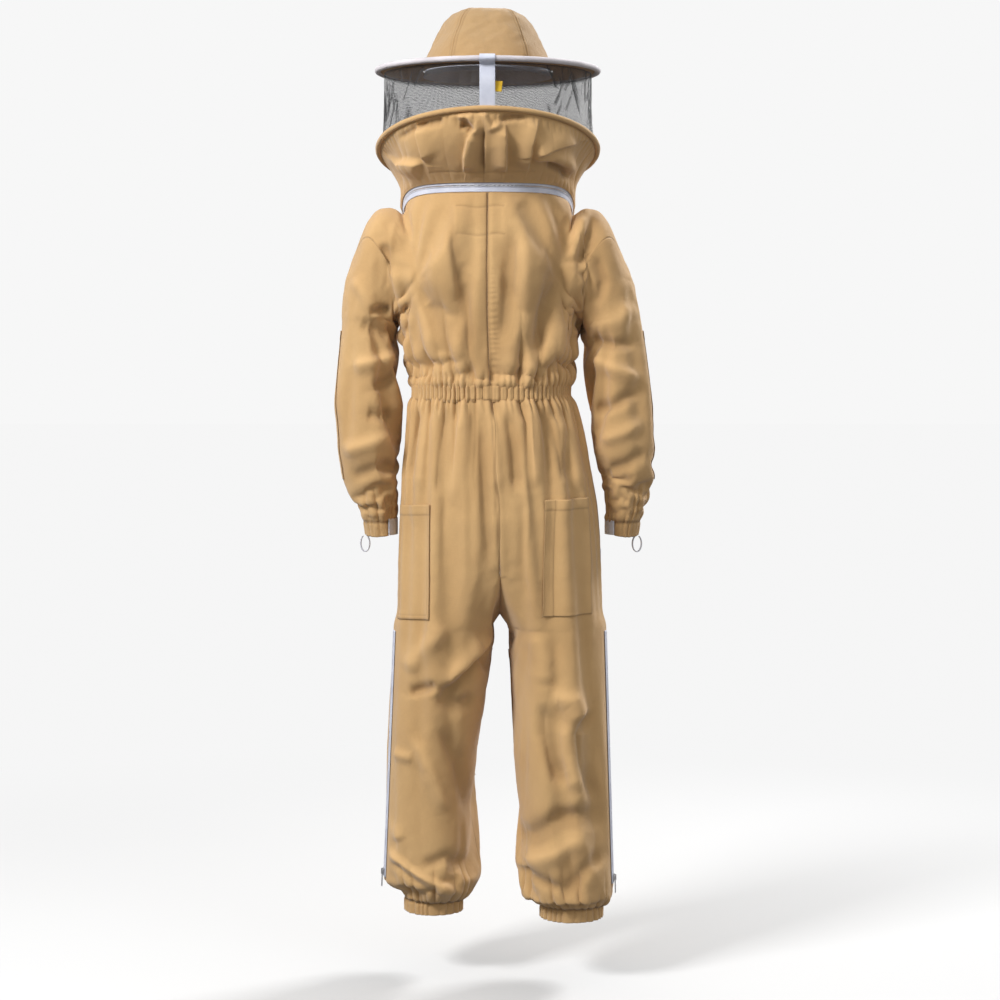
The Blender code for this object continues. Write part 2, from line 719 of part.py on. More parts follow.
def collar():
    """The skirt of cloth between the neck zip and the lower hoop, which bellies out over the shoulders."""
    angles = [2 * math.pi * i / 36 for i in range(36)]
    rows = []
    for t in (0.0, 0.3, 0.65, 1.0):
        row = []
        for a in angles:
            low, high = neck_point(a) + neck_up(a) * 0.0135, hoop_point(a, VEIL_BOTTOM_RADIUS, -0.004)
            out = Vector((math.sin(a), -math.cos(a), 0))
            row.append(low.lerp(high, t) + (out - Vector((0, 0, 0.6))) * 0.012 * math.sin(math.pi * t))
        rows.append(row)
    sheet("hood_collar", rows, "khaki_cloth", 0.003, wrap=True)


def veil():
    angles = [2 * math.pi * i / 36 for i in range(36)]
    top = [place(VEIL_TOP_RADIUS * math.sin(a), -VEIL_TOP_RADIUS * math.cos(a), BRIM_HEIGHT - 0.0065) for a in angles]
    bottom = [hoop_point(a, VEIL_BOTTOM_RADIUS, 0.001) for a in angles]
    sheet("veil_net", [bottom, top], "black_net", 0.0012, wrap=True)

    width, off = Vector((0.014, 0, 0)), Vector((0, 0.0006, 0))
    middle = [bottom[18].lerp(top[18], t) + off for t in (0.06, 0.98)]
    rows = [[p + width, p - width] for p in middle]
    sheet("veil_back_tape", rows, "white_tape", 0.0014, 1.0)
    tag = rows[0][1].lerp(rows[1][1], 0.45)
    frame = frame_at(tag + Vector((-0.0006, 0.004, 0)), Vector((1, 0, 0)), Vector((0.15, 0, 1)))
    block("label_tab", (-0.012, -0.001, -0.009), (0.0, 0.0, 0.009), frame, "yellow_label")


def hat():
    segments = 30
    angles = [2 * math.pi * i / segments for i in range(segments)]
    points = [place(r * math.sin(a), -r * math.cos(a), h) for r, h in CROWN[:-1] for a in angles]
    points.append(place(0, 0, CROWN[-1][1]))
    faces = grid_faces(len(CROWN) - 1, segments, wrap=True)
    first, top = (len(CROWN) - 2) * segments, len(points) - 1
    faces += [(first + i, first + (i + 1) % segments, top) for i in range(segments)]
    thicken(mesh_object("hat_crown", points, faces, "khaki_cloth"), 0.003)

    centre = Matrix.Translation(place(0, 0, 0))
    brim = [(0.1275, BRIM_HEIGHT - 0.0015), (0.2065, BRIM_HEIGHT - 0.0015), (0.2065, BRIM_HEIGHT + 0.001), (0.1275, BRIM_HEIGHT + 0.001)]
    turned_profile("hat_brim", brim[::-1], centre, "khaki_cloth")
    band = [(0.1225, 1.764), (0.1125, 1.796), (0.1105, 1.796), (0.1205, 1.764)]
    turned_profile("sweatband", band, centre, "white_elastic")
    frame = Matrix.Translation(place(0, 0, BRIM_HEIGHT))
    binding("brim_binding", BRIM_RADIUS, frame, "white_tape")
    hoop("brim_hoop", BRIM_RADIUS, frame)


def hood():
    collar()
    frame = Matrix.Translation(place(0, 0, HOOP_HEIGHT)) @ Matrix.Rotation(HOOP_TILT, 4, "X")
    binding("collar_binding", HOOP_RADIUS, frame, "khaki_cloth")
    hoop("collar_hoop", HOOP_RADIUS, frame)
    veil()
    hat()


def main():
    for old in list(bpy.data.objects):
        bpy.data.objects.remove(old)
    upper_half()
    waist_band()
    trousers()
    patches()
    for side, word in ((1, "left"), (-1, "right")):
        sleeve(side, word)
    zips()
    hood()


main()
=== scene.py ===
"""The looks of the beekeeping suit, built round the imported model. Heights are above the floor, in metres."""

import json
import math

import bmesh
import bpy
import numpy as np
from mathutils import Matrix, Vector
from mathutils.bvhtree import BVHTree


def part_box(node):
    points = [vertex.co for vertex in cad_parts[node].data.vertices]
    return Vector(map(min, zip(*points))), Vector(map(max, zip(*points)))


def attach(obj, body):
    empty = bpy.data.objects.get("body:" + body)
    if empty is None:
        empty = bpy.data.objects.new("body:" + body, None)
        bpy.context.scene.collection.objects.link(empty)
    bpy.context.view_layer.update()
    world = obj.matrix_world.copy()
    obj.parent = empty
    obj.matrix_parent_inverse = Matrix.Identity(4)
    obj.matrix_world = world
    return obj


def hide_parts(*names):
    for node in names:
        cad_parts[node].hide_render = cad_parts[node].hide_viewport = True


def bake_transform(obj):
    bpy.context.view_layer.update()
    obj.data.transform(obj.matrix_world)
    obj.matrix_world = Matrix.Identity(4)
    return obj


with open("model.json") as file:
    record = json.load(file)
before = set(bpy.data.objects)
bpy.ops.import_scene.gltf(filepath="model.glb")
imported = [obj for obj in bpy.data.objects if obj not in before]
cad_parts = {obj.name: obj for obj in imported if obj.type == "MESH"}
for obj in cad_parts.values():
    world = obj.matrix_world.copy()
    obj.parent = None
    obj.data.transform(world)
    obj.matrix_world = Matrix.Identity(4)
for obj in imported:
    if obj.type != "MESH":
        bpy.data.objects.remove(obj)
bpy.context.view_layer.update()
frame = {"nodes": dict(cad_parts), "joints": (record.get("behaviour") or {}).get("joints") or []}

SHOULDER_HEIGHT = 1.50
FOLD_GAIN = 1.65           # the drawn folds of the back and sleeves, times this
HOOD_FOLD_GAIN = 1.5
CLOTH_THICKNESS = 0.0010
DRIFT_KEPT = 0.20          # the share of the cloth's broad drift that is kept when it hangs
LARGEST_FOLD = 0.016       # and the furthest that one of its folds may move a point, in metres
TEETH_PITCH = 0.0016
SIDES = ((1, "left"), (-1, "right"))

# ---------------------------------------------------------------- shapes shared with the CAD
BODY = np.array([  # height, centre x, half width, y of the back
    (0.800, -0.0235, 0.2015, 0.128), (0.890, -0.0225, 0.1985, 0.133), (0.940, -0.0230, 0.1950, 0.134),
    (1.000, -0.0160, 0.1870, 0.132), (1.056, -0.0160, 0.1770, 0.128), (1.100, -0.0150, 0.1680, 0.122),
    (1.156, -0.0060, 0.1500, 0.116), (1.190, -0.0080, 0.1600, 0.119), (1.230, -0.0060, 0.1710, 0.123),
    (1.270, -0.0030, 0.1800, 0.127), (1.312, 0.0000, 0.1860, 0.130)])
FRONT_LINE = ((0.80, -0.140), (1.405, -0.155))
SQUARENESS = 0.85
WAIST = 1.156
NECK_RADIUS, NECK_TILT, NECK_REAR, NECK_LEVELS_OUT = 0.165, math.radians(38), (0.120, 1.548), 2.7
CROTCH_HEIGHT, CROTCH_DIP, CROTCH_ARC = 0.80, 0.055, 130
LEGS = {  # height, centre x, centre y, half width, half depth
    1: np.array([
        (0.125, 0.1085, -0.030, 0.0575, 0.062), (0.150, 0.1085, -0.030, 0.0580, 0.062),
        (0.195, 0.1075, -0.030, 0.0860, 0.094), (0.254, 0.1125, -0.028, 0.0930, 0.097),
        (0.352, 0.1150, -0.026, 0.0920, 0.098), (0.450, 0.1130, -0.022, 0.0930, 0.102),
        (0.547, 0.1010, -0.016, 0.0945, 0.108), (0.660, 0.0870, -0.008, 0.0940, 0.114),
        (0.700, 0.0835, -0.004, 0.0965, 0.116)]),
    -1: np.array([
        (0.125, -0.1640, 0.025, 0.0620, 0.065), (0.150, -0.1640, 0.025, 0.0620, 0.065),
        (0.176, -0.1560, 0.025, 0.0860, 0.090), (0.235, -0.1510, 0.024, 0.0950, 0.098),
        (0.293, -0.1430, 0.022, 0.0860, 0.097), (0.352, -0.1430, 0.020, 0.0850, 0.098),
        (0.450, -0.1415, 0.014, 0.0920, 0.102), (0.547, -0.1405, 0.008, 0.0920, 0.108),
        (0.660, -0.1350, 0.000, 0.0920, 0.114), (0.700, -0.1325, -0.004, 0.0950, 0.116)]),
}
LEG_TOP, ANKLE_TOP, ANKLE_END = 0.70, 0.150, 0.125
SLEEVES = {  # x, y, height, half width, half depth
    1: np.array([
        (0.2330, -0.012, 1.300, 0.0480, 0.080), (0.2340, -0.010, 1.220, 0.0560, 0.074),
        (0.2335, -0.006, 1.134, 0.0655, 0.068), (0.2310, -0.006, 1.056, 0.0590, 0.064),
        (0.2275, -0.014, 1.000, 0.0540, 0.058), (0.2190, -0.022, 0.950, 0.0430, 0.052),
        (0.2150, -0.027, 0.919, 0.0340, 0.044), (0.2140, -0.030, 0.900, 0.0310, 0.040),
        (0.2120, -0.0345, 0.878, 0.0310, 0.040)]),
    -1: np.array([
        (-0.2440, -0.012, 1.300, 0.0510, 0.080), (-0.2530, -0.010, 1.220, 0.0570, 0.074),
        (-0.2610, -0.006, 1.134, 0.0620, 0.068), (-0.2680, -0.006, 1.056, 0.0590, 0.064),
        (-0.2740, -0.014, 1.000, 0.0520, 0.058), (-0.2730, -0.022, 0.950, 0.0420, 0.052),
        (-0.2700, -0.027, 0.919, 0.0340, 0.044), (-0.2670, -0.030, 0.900, 0.0320, 0.040),
        (-0.2645, -0.0345, 0.878, 0.0320, 0.040)]),
}
HOOP_RADIUS, HOOP_HEIGHT, HOOP_TILT = 0.2125, 1.6226, math.radians(17)
BRIM_RADIUS, BRIM_HEIGHT = 0.2125, 1.775


def smooth(t):
    t = np.clip(t, 0.0, 1.0)
    return t * t * (3 - 2 * t)


def power(value, exponent):
    return np.sign(value) * np.abs(value) ** exponent


def unit(vectors):
    return vectors / np.linalg.norm(vectors, axis=-1, keepdims=True)


def run_along(path):
    """How far along a path each of its points is."""
    return np.concatenate([[0], np.cumsum(np.linalg.norm(np.diff(path, axis=0), axis=1))])


def table(rows, at, key=0):
    """The other columns of a table at heights, straight between its rows."""
    rows = rows[np.argsort(rows[:, key])]
    at = np.asarray(at, float)
    return [np.interp(at, rows[:, key], rows[:, k]) for k in range(rows.shape[1]) if k != key]


def place(x, y, height):
    x, y, height = np.broadcast_arrays(np.asarray(x, float), y, height)
    return np.stack([x, y, height - SHOULDER_HEIGHT], axis=-1)


def ring_at(angle, radius, height):
    """Points round the object's middle; an angle of 0 is the front."""
    return place(radius * np.sin(angle), -radius * np.cos(angle), height)


def front_y(height):
    (low, y_low), (high, y_high) = FRONT_LINE
    return y_low + (y_high - y_low) * (np.asarray(height, float) - low) / (high - low)


def body_point(height, angle, grow=0.0):
    centre_x, half_width, y_back = table(BODY, height)
    y_front = front_y(height)
    x = centre_x + (half_width + grow) * power(np.sin(angle), SQUARENESS)
    y = (y_front + y_back) / 2 - ((y_back - y_front) / 2 + grow) * power(np.cos(angle), SQUARENESS)
    return place(x, y, height)


def neck_axis():
    return np.array((0, -math.sin(NECK_TILT), math.cos(NECK_TILT)))


def neck_point(angle):
    """The neck zip's line."""
    angle = np.asarray(angle, float)
    c = np.cos(angle)
    centre_y = FRONT_LINE[1][1] + NECK_RADIUS * math.cos(NECK_TILT)
    centre_h = FRONT_LINE[1][0] + NECK_RADIUS * math.sin(NECK_TILT)
    x = NECK_RADIUS * np.sin(angle)
    forward = NECK_RADIUS * c
    rise = 1 - np.clip(1 + c, 0, 1) ** NECK_LEVELS_OUT
    y = np.where(c > 0, centre_y - forward * math.cos(NECK_TILT), centre_y + (NECK_REAR[0] - centre_y) * -c)
    h = np.where(c > 0, centre_h - forward * math.sin(NECK_TILT), centre_h + (NECK_REAR[1] - centre_h) * rise)
    return place(x, y, h)


def neck_up(angle):
    turned = np.degrees(np.arccos(np.cos(angle)))
    t = smooth((turned - 80) / 60)[..., None]
    up = neck_axis() * (1 - t) + np.array((0, 0, 1.0)) * t
    return unit(up)


def hoop_point(angle, radius, lift=0.0):
    angle = np.asarray(angle, float)
    normal = np.array((0, -math.sin(HOOP_TILT), math.cos(HOOP_TILT)))
    forward = radius * np.cos(angle)
    flat = place(radius * np.sin(angle), -forward * math.cos(HOOP_TILT),
                 HOOP_HEIGHT - forward * math.sin(HOOP_TILT))
    return flat + normal * np.asarray(lift)[..., None]


def leg_point(side, height, angle, grow=0.0):
    x, y, half_width, half_depth = table(LEGS[side], height)
    return place(x + side * (half_width + grow) * np.sin(angle), y - (half_depth + grow) * np.cos(angle),
                 height)


def ring_out(angle):
    """Level directions away from the middle; an angle of 0 is the front."""
    return np.stack([np.sin(angle), -np.cos(angle), 0 * angle], -1)


def spline(points, count):
    """Evenly spaced points on a smooth curve through a few points."""
    points = np.array(points, float)
    d = np.concatenate([[0], np.cumsum(np.linalg.norm(np.diff(points, axis=0), axis=1) ** 0.5)])
    t = np.linspace(0, d[-1], 400)
    n = len(points)
    slope = np.zeros_like(points)
    for i in range(n):
        a, b = max(i - 1, 0), min(i + 1, n - 1)
        slope[i] = (points[b] - points[a]) / (d[b] - d[a])
    k = np.clip(np.searchsorted(d, t, "right") - 1, 0, n - 2)
    h = (d[k + 1] - d[k])[:, None]
    s = ((t - d[k])[:, None]) / h
    fine = ((2 * s**3 - 3 * s**2 + 1) * points[k] + (s**3 - 2 * s**2 + s) * h * slope[k]
            + (-2 * s**3 + 3 * s**2) * points[k + 1] + (s**3 - s**2) * h * slope[k + 1])
    run = run_along(fine)
    at = np.linspace(0, run[-1], count)
    return np.stack([np.interp(at, run, fine[:, j]) for j in range(3)], axis=1)


# ---------------------------------------------------------------- the cloth as one net, before it hangs
QUARTER = 28        # columns from a centre seam to the side seam
NECK_COLUMNS = 19   # of these, the columns along the neck edge
SIDE_ROWS, HOLE_ROWS = 16, 24  # rows from the waist to the armpit, and up the armhole
SEAT_ROWS, YOKE_ROWS, LEG_ROWS, CUFF_ROWS = 36, 10, 56, 5
INNER = 30          # columns of the inner leg
SLEEVE_ROWS = 56
ZIP_HALF = 0.0050   # the front edges stand this far from the front zip's middle


def armhole(side):
    """The armhole's back half and front half, from the armpit to the shoulder's tip."""
    k = side
    top = (k * 0.260, -0.004, 1.467)
    armpit = (k * 0.186, 0.000, 1.312)
    back = spline([armpit, (k * 0.1840, 0.058, 1.326), (k * 0.186, 0.094, 1.372), (k * 0.214, 0.072, 1.425),
                   (k * 0.243, 0.036, 1.456), top], HOLE_ROWS + 1)
    front = spline([armpit, (k * 0.180, -0.062, 1.326), (k * 0.180, -0.108, 1.370),
                    (k * 0.208, -0.088, 1.420), (k * 0.240, -0.046, 1.452), top], HOLE_ROWS + 1)
    for edge in (back, front):
        edge[:, 2] -= SHOULDER_HEIGHT
    return back, front


def upper_patch(side, back):
    """A quarter of the upper half: rows from the waist up, columns from the centre seam to the side."""
    n, m = QUARTER + 1, SIDE_ROWS + HOLE_ROWS + 1
    p = np.linspace(0, 1, n)
    middle = math.pi if back else 0.0
    end = middle - side * math.pi / 2 if back else side * math.pi / 2
    angles = middle + (end - middle) * p
    bottom = body_point(np.full(n, WAIST), angles)
    side_heights = np.linspace(WAIST, 1.312, SIDE_ROWS + 1)
    seam = body_point(side_heights, np.full(SIDE_ROWS + 1, side * math.pi / 2))
    edge = np.concatenate([seam[:-1], armhole(side)[0 if back else 1]])
    shift = edge[SIDE_ROWS] - seam[-1]
    edge[:SIDE_ROWS] += shift * np.linspace(0, 1, SIDE_ROWS + 1)[:-1, None] ** 2
    neck_angles = angles[0] + (angles[-1] - angles[0]) * np.linspace(0, 1, NECK_COLUMNS + 1)
    neck = neck_point(neck_angles) - neck_up(neck_angles) * 0.0125
    tip = edge[-1]
    shoulder = neck[-1] + (tip - neck[-1]) * np.linspace(0, 1, QUARTER - NECK_COLUMNS + 1)[1:, None]
    shoulder[:, 2] += 0.006 * np.sin(math.pi * np.linspace(0, 1, QUARTER - NECK_COLUMNS + 1)[1:])
    top = np.concatenate([neck, shoulder])
    heights = np.linspace(WAIST, top[0, 2] + SHOULDER_HEIGHT, m)
    if back:
        centre_x = np.interp(heights, [WAIST, 1.312], [table(BODY, WAIST)[0], 0.0])
        centre_y = np.interp(heights, [WAIST, 1.23, 1.31, 1.42, 1.50, 1.54],
                             [0.116, 0.124, 0.132, 0.134, 0.127, 0.1195])
        centre = place(centre_x, centre_y, heights)
        centre[0], centre[-1] = bottom[0], top[0]
    else:
        centre = bottom[0] + (top[0] - bottom[0]) * np.linspace(0, 1, m)[:, None]
    q = np.linspace(0, 1, m)[:, None, None]
    p = p[None, :, None]
    coons = ((1 - q) * bottom[None] + q * top[None] + (1 - p) * centre[:, None] + p * edge[:, None]
             - (1 - p) * (1 - q) * bottom[0] - p * (1 - q) * bottom[-1]
             - (1 - p) * q * top[0] - p * q * top[-1])
    if not back:
        coons[:, 0, 0] += side * ZIP_HALF
    # the patch is rounder than its edges make it
    bulge = 0.022 * np.sin(math.pi * p[..., 0]) * np.sin(math.pi * np.clip(q[..., 0], 0, 1))
    coons[..., 1] += (bulge if back else -bulge)
    return coons


def crotch_point(share):
    y_back = BODY[0, 3]
    y = y_back + (front_y(CROTCH_HEIGHT) - y_back) * share
    return place(np.full(np.shape(share), BODY[0, 1]), y,
                 CROTCH_HEIGHT - CROTCH_DIP * np.sin(math.pi * share))


def leg_rows():
    yoke = [("yoke", 1 - t) for t in np.linspace(0, 1, YOKE_ROWS + 1)][:-1]
    leg = [("leg", h) for h in np.linspace(LEG_TOP, ANKLE_TOP + 0.006, LEG_ROWS)]
    cuff = [("leg", h) for h in np.linspace(ANKLE_TOP, ANKLE_END, CUFF_ROWS)]
    return yoke + leg + cuff


def leg_patch(side, inner):
    """Rows from the crotch down to the ankle. The columns go round the outside from the front's centre
    line to the back's, or for the inner part from the back's centre line under the crotch to the front's."""
    half_arc = CROTCH_ARC / 2
    if inner:
        share = np.linspace(0, 1, INNER + 1)
        angle = np.radians(270 - half_arc + 2 * half_arc * share)
        top = crotch_point(share)
    else:
        share = np.linspace(0, 1, 2 * QUARTER + 1)
        angle = np.radians(half_arc - 90 + (360 - 2 * half_arc) * share)
        top = body_point(np.full(len(share), CROTCH_HEIGHT), side * math.pi * share)
    rows = []
    for kind, value in leg_rows():
        if kind == "yoke":
            rows.append(top + (leg_point(side, LEG_TOP, angle) - top) * smooth(1 - value))
        else:
            rows.append(leg_point(side, np.full(len(share), value), angle))
    return np.array(rows)


def seat_patch(side):
    """Rows from the waist down to the crotch's height, columns from the front's centre to the back's."""
    share = np.linspace(0, 1, 2 * QUARTER + 1)
    rows = []
    for height in np.linspace(WAIST, CROTCH_HEIGHT, SEAT_ROWS + 1):
        row = body_point(np.full(len(share), height), side * math.pi * share)
        if height > CROTCH_HEIGHT:
            row[0, 0] += side * ZIP_HALF * min(1.0, (height - CROTCH_HEIGHT) / 0.02)
        rows.append(row)
    return np.array(rows)


def sleeve_patch(side):
    """Rows from the armhole to the cuff; columns from the shoulder's tip back, under and to the front."""
    back, front = armhole(side)
    loop = np.concatenate([back[::-1], front[1:]])
    n = len(loop)
    angle = np.radians(90 + 360 * np.arange(n) / (n - 1))  # 0 is the front, 90 the outside
    stations = SLEEVES[side]
    run = run_along(stations[:, :3])
    at = np.linspace(0, run[-1], 300)
    dense = np.stack([np.interp(at, run, stations[:, k]) for k in range(5)], axis=1)
    kernel = np.ones(9) / 9
    padded = np.pad(dense, ((4, 4), (0, 0)), "edge")
    dense = np.stack([np.convolve(padded[:, k], kernel, "valid") for k in range(5)], axis=1)
    head = 0.085  # length of the sleeve's head, from the loop to the first station
    rows = [loop]
    total = head + run[-1]
    for s in np.linspace(0, total, SLEEVE_ROWS + 1)[1:]:
        t = (s - head) / run[-1]
        i = int(np.clip(t, 0, 1) * 299)
        centre, half_width, half_depth = dense[i, :3], dense[i, 3], dense[i, 4]
        d = dense[min(i + 6, 299), :3] - dense[max(i - 6, 0), :3]
        d /= np.linalg.norm(d)
        out = np.array((side, 0, 0)) - d * side * d[0]
        out /= np.linalg.norm(out)
        back_way = np.array((0, 1, 0)) - d * d[1]
        back_way /= np.linalg.norm(back_way)
        ring = (centre + np.outer(np.sin(angle) * half_width, out)
                - np.outer(np.cos(angle) * half_depth, back_way))
        ring[:, 2] -= SHOULDER_HEIGHT
        if s < head:
            w = smooth(s / head)
            ring = loop * (1 - w) + ring * w
            ring[:, 0] += side * 0.010 * math.sin(math.pi * s / head) * np.clip(np.sin(angle), 0, 1)
        rows.append(ring)
    return np.array(rows)


class Net:
    """One mesh from many patches that share their edges."""

    def __init__(self):
        self.points, self.known, self.patches = [], {}, {}

    def add(self, name, grid):
        index = np.zeros(grid.shape[:2], int)
        for i in range(grid.shape[0]):
            for j in range(grid.shape[1]):
                key = tuple(int(round(v * 20000)) for v in grid[i, j])
                if key not in self.known:
                    self.known[key] = len(self.points)
                    self.points.append(grid[i, j])
                index[i, j] = self.known[key]
        self.patches[name] = index

    def faces(self, flip):
        made = []
        for name, index in self.patches.items():
            for i in range(index.shape[0] - 1):
                for j in range(index.shape[1] - 1):
                    face = (index[i, j], index[i, j + 1], index[i + 1, j + 1], index[i + 1, j])
                    if len(set(face)) == 4:
                        made.append(face if name not in flip else face[::-1])
        return made


def mesh_from(name, points, faces):
    mesh = bpy.data.meshes.new(name)
    mesh.from_pydata([tuple(map(float, p)) for p in points], [], [tuple(int(i) for i in f) for f in faces])
    made = bpy.data.objects.new(name, mesh)
    bpy.context.scene.collection.objects.link(made)
    return made


def outward(made):
    work = bmesh.new()
    work.from_mesh(made.data)
    bmesh.ops.recalc_face_normals(work, faces=work.faces[:])
    work.to_mesh(made.data)
    work.free()
    return made


def build_net():
    net = Net()
    for side, word in SIDES:
        net.add(f"upper_back_{word}", upper_patch(side, True))
        net.add(f"upper_front_{word}", upper_patch(side, False))
        net.add(f"seat_{word}", seat_patch(side))
        net.add(f"outer_{word}", leg_patch(side, False))
        net.add(f"inner_{word}", leg_patch(side, True))
        net.add(f"sleeve_{word}", sleeve_patch(side))
    return net


net = build_net()
points = np.array(net.points)
# which patches wind so that their faces look inwards
FLIPPED = []
for name in net.patches:
    index = net.patches[name]
    i, j = index.shape[0] // 2, index.shape[1] // 2
    a, b, c = points[index[i, j]], points[index[i, j + 1]], points[index[i + 1, j]]
    normal = np.cross(b - a, c - a)
    if name.startswith("sleeve"):
        middle = points[index[i]].mean(0)
    elif name.startswith(("outer", "inner")):
        side = 1 if "left" in name else -1
        x, y = table(LEGS[side], points[index[i, j], 2] + SHOULDER_HEIGHT)[:2]
        middle = np.array((x, y, a[2]))
    else:
        middle = np.array((0.0, 0.0, a[2]))
    if np.dot(normal, a - middle) < 0:
        FLIPPED.append(name)


# ------------------------------------------------------- the cloth hangs on a stand-in for the wearer
SIM_FRAMES = 56


def tube(name, stations, segments=28):
    """A closed tube through (x, y, height, half width, half depth)."""
    a = np.linspace(0, 2 * math.pi, segments, endpoint=False)
    rows = []
    for x, y, h, w, d in stations:
        rows.append(place(x + w * np.sin(a), y - d * np.cos(a), h))
    pts = np.concatenate(rows)
    n = len(rows)
    faces = [(i * segments + j, i * segments + (j + 1) % segments, (i + 1) * segments + (j + 1) % segments,
              (i + 1) * segments + j) for i in range(n - 1) for j in range(segments)]
    faces += [tuple(range(segments)), tuple(range((n - 1) * segments, n * segments))[::-1]]
    return outward(mesh_from(name, pts, faces))


def dense(stations, count):
    """The stations of a tube, straight between a few, at even heights."""
    stations = np.array(stations, float)
    order = np.argsort(stations[:, 2])
    stations = stations[order]
    h = np.linspace(stations[0, 2], stations[-1, 2], count)
    rows = np.stack([np.interp(h, stations[:, 2], stations[:, k]) for k in range(5)], axis=1)
    rows[:, 2] = h
    return rows


def wearer():
    torso = [(-0.020, 0.000, 0.770, 0.020, 0.020), (-0.020, 0.000, 0.790, 0.110, 0.060),
             (-0.020, 0.000, 0.830, 0.158, 0.096), (-0.018, 0.000, 0.90, 0.172, 0.112),
             (-0.012, 0.000, 1.00, 0.155, 0.105), (-0.006, -0.010, 1.156, 0.132, 0.100),
             (0.0, -0.008, 1.28, 0.160, 0.118), (0.0, -0.002, 1.38, 0.165, 0.118),
             (0.0, 0.010, 1.44, 0.140, 0.100), (0.0, 0.015, 1.475, 0.090, 0.070),
             (0.0, 0.010, 1.52, 0.060, 0.058)]
    left_leg = [(0.075, -0.004, 0.82, 0.082, 0.092), (0.090, -0.008, 0.66, 0.074, 0.082),
                (0.105, -0.016, 0.52, 0.058, 0.066), (0.109, -0.010, 0.38, 0.055, 0.062),
                (0.1085, -0.026, 0.20, 0.038, 0.044), (0.1085, -0.030, 0.10, 0.036, 0.042)]
    right_leg = [(-0.115, -0.004, 0.82, 0.082, 0.092), (-0.133, -0.004, 0.66, 0.074, 0.082),
                 (-0.141, 0.004, 0.52, 0.058, 0.066), (-0.146, 0.018, 0.38, 0.055, 0.062),
                 (-0.162, 0.026, 0.20, 0.038, 0.044), (-0.164, 0.025, 0.10, 0.036, 0.042)]
    parts = [tube("wearer_torso", dense(torso, 40)), tube("wearer_thigh_left", dense(left_leg, 36)),
             tube("wearer_thigh_right", dense(right_leg, 36))]
    for k, elbow, wrist in ((1, 0.236, 0.214), (-1, -0.262, -0.266)):
        parts.append(tube("wearer_arm", dense([
            (k * 0.185, -0.004, 1.470, 0.025, 0.030), (k * 0.200, -0.004, 1.450, 0.048, 0.050),
            (k * 0.212, -0.006, 1.410, 0.052, 0.056), (k * 0.232, -0.010, 1.28, 0.042, 0.050),
            (elbow, -0.006, 1.13, 0.036, 0.042), (elbow * 0.97, -0.014, 1.02, 0.033, 0.038),
            (wrist, -0.028, 0.90, 0.024, 0.030), (wrist, -0.034, 0.86, 0.022, 0.028)], 40)))
        shoulder = []
        for t in np.linspace(0, 1, 12):
            shoulder.append((k * (0.09 + 0.115 * t), 0.002, 1.452 - 0.042 * t, 0.050))
        a = np.linspace(0, 2 * math.pi, 20, endpoint=False)
        pts = np.concatenate([place(x, y + r * np.sin(a), h + r * np.cos(a)) for x, y, h, r in shoulder])
        faces = [(i * 20 + j, i * 20 + (j + 1) % 20, (i + 1) * 20 + (j + 1) % 20, (i + 1) * 20 + j)
                 for i in range(11) for j in range(20)]
        faces += [tuple(range(20)), tuple(range(220, 240))[::-1]]
        parts.append(outward(mesh_from("wearer_shoulder", pts, faces)))
    return parts


def vertex_rows(name, rows=slice(None), columns=slice(None)):
    return np.unique(net.patches[name][rows, columns])


def fractal(p, scale, seed, octaves=3):
    """Smooth noise from -1 to 1 at points, from a sum of turned waves."""
    local = np.random.default_rng(seed)
    total = np.zeros(len(p))
    for octave in range(octaves):
        for _ in range(5):
            d = local.normal(size=3)
            d /= np.linalg.norm(d)
            total += np.sin(p @ d * (2 * math.pi / scale) * 2**octave + local.uniform(0, 6.28)) / 2**octave
    return total / (2.2 * octaves)


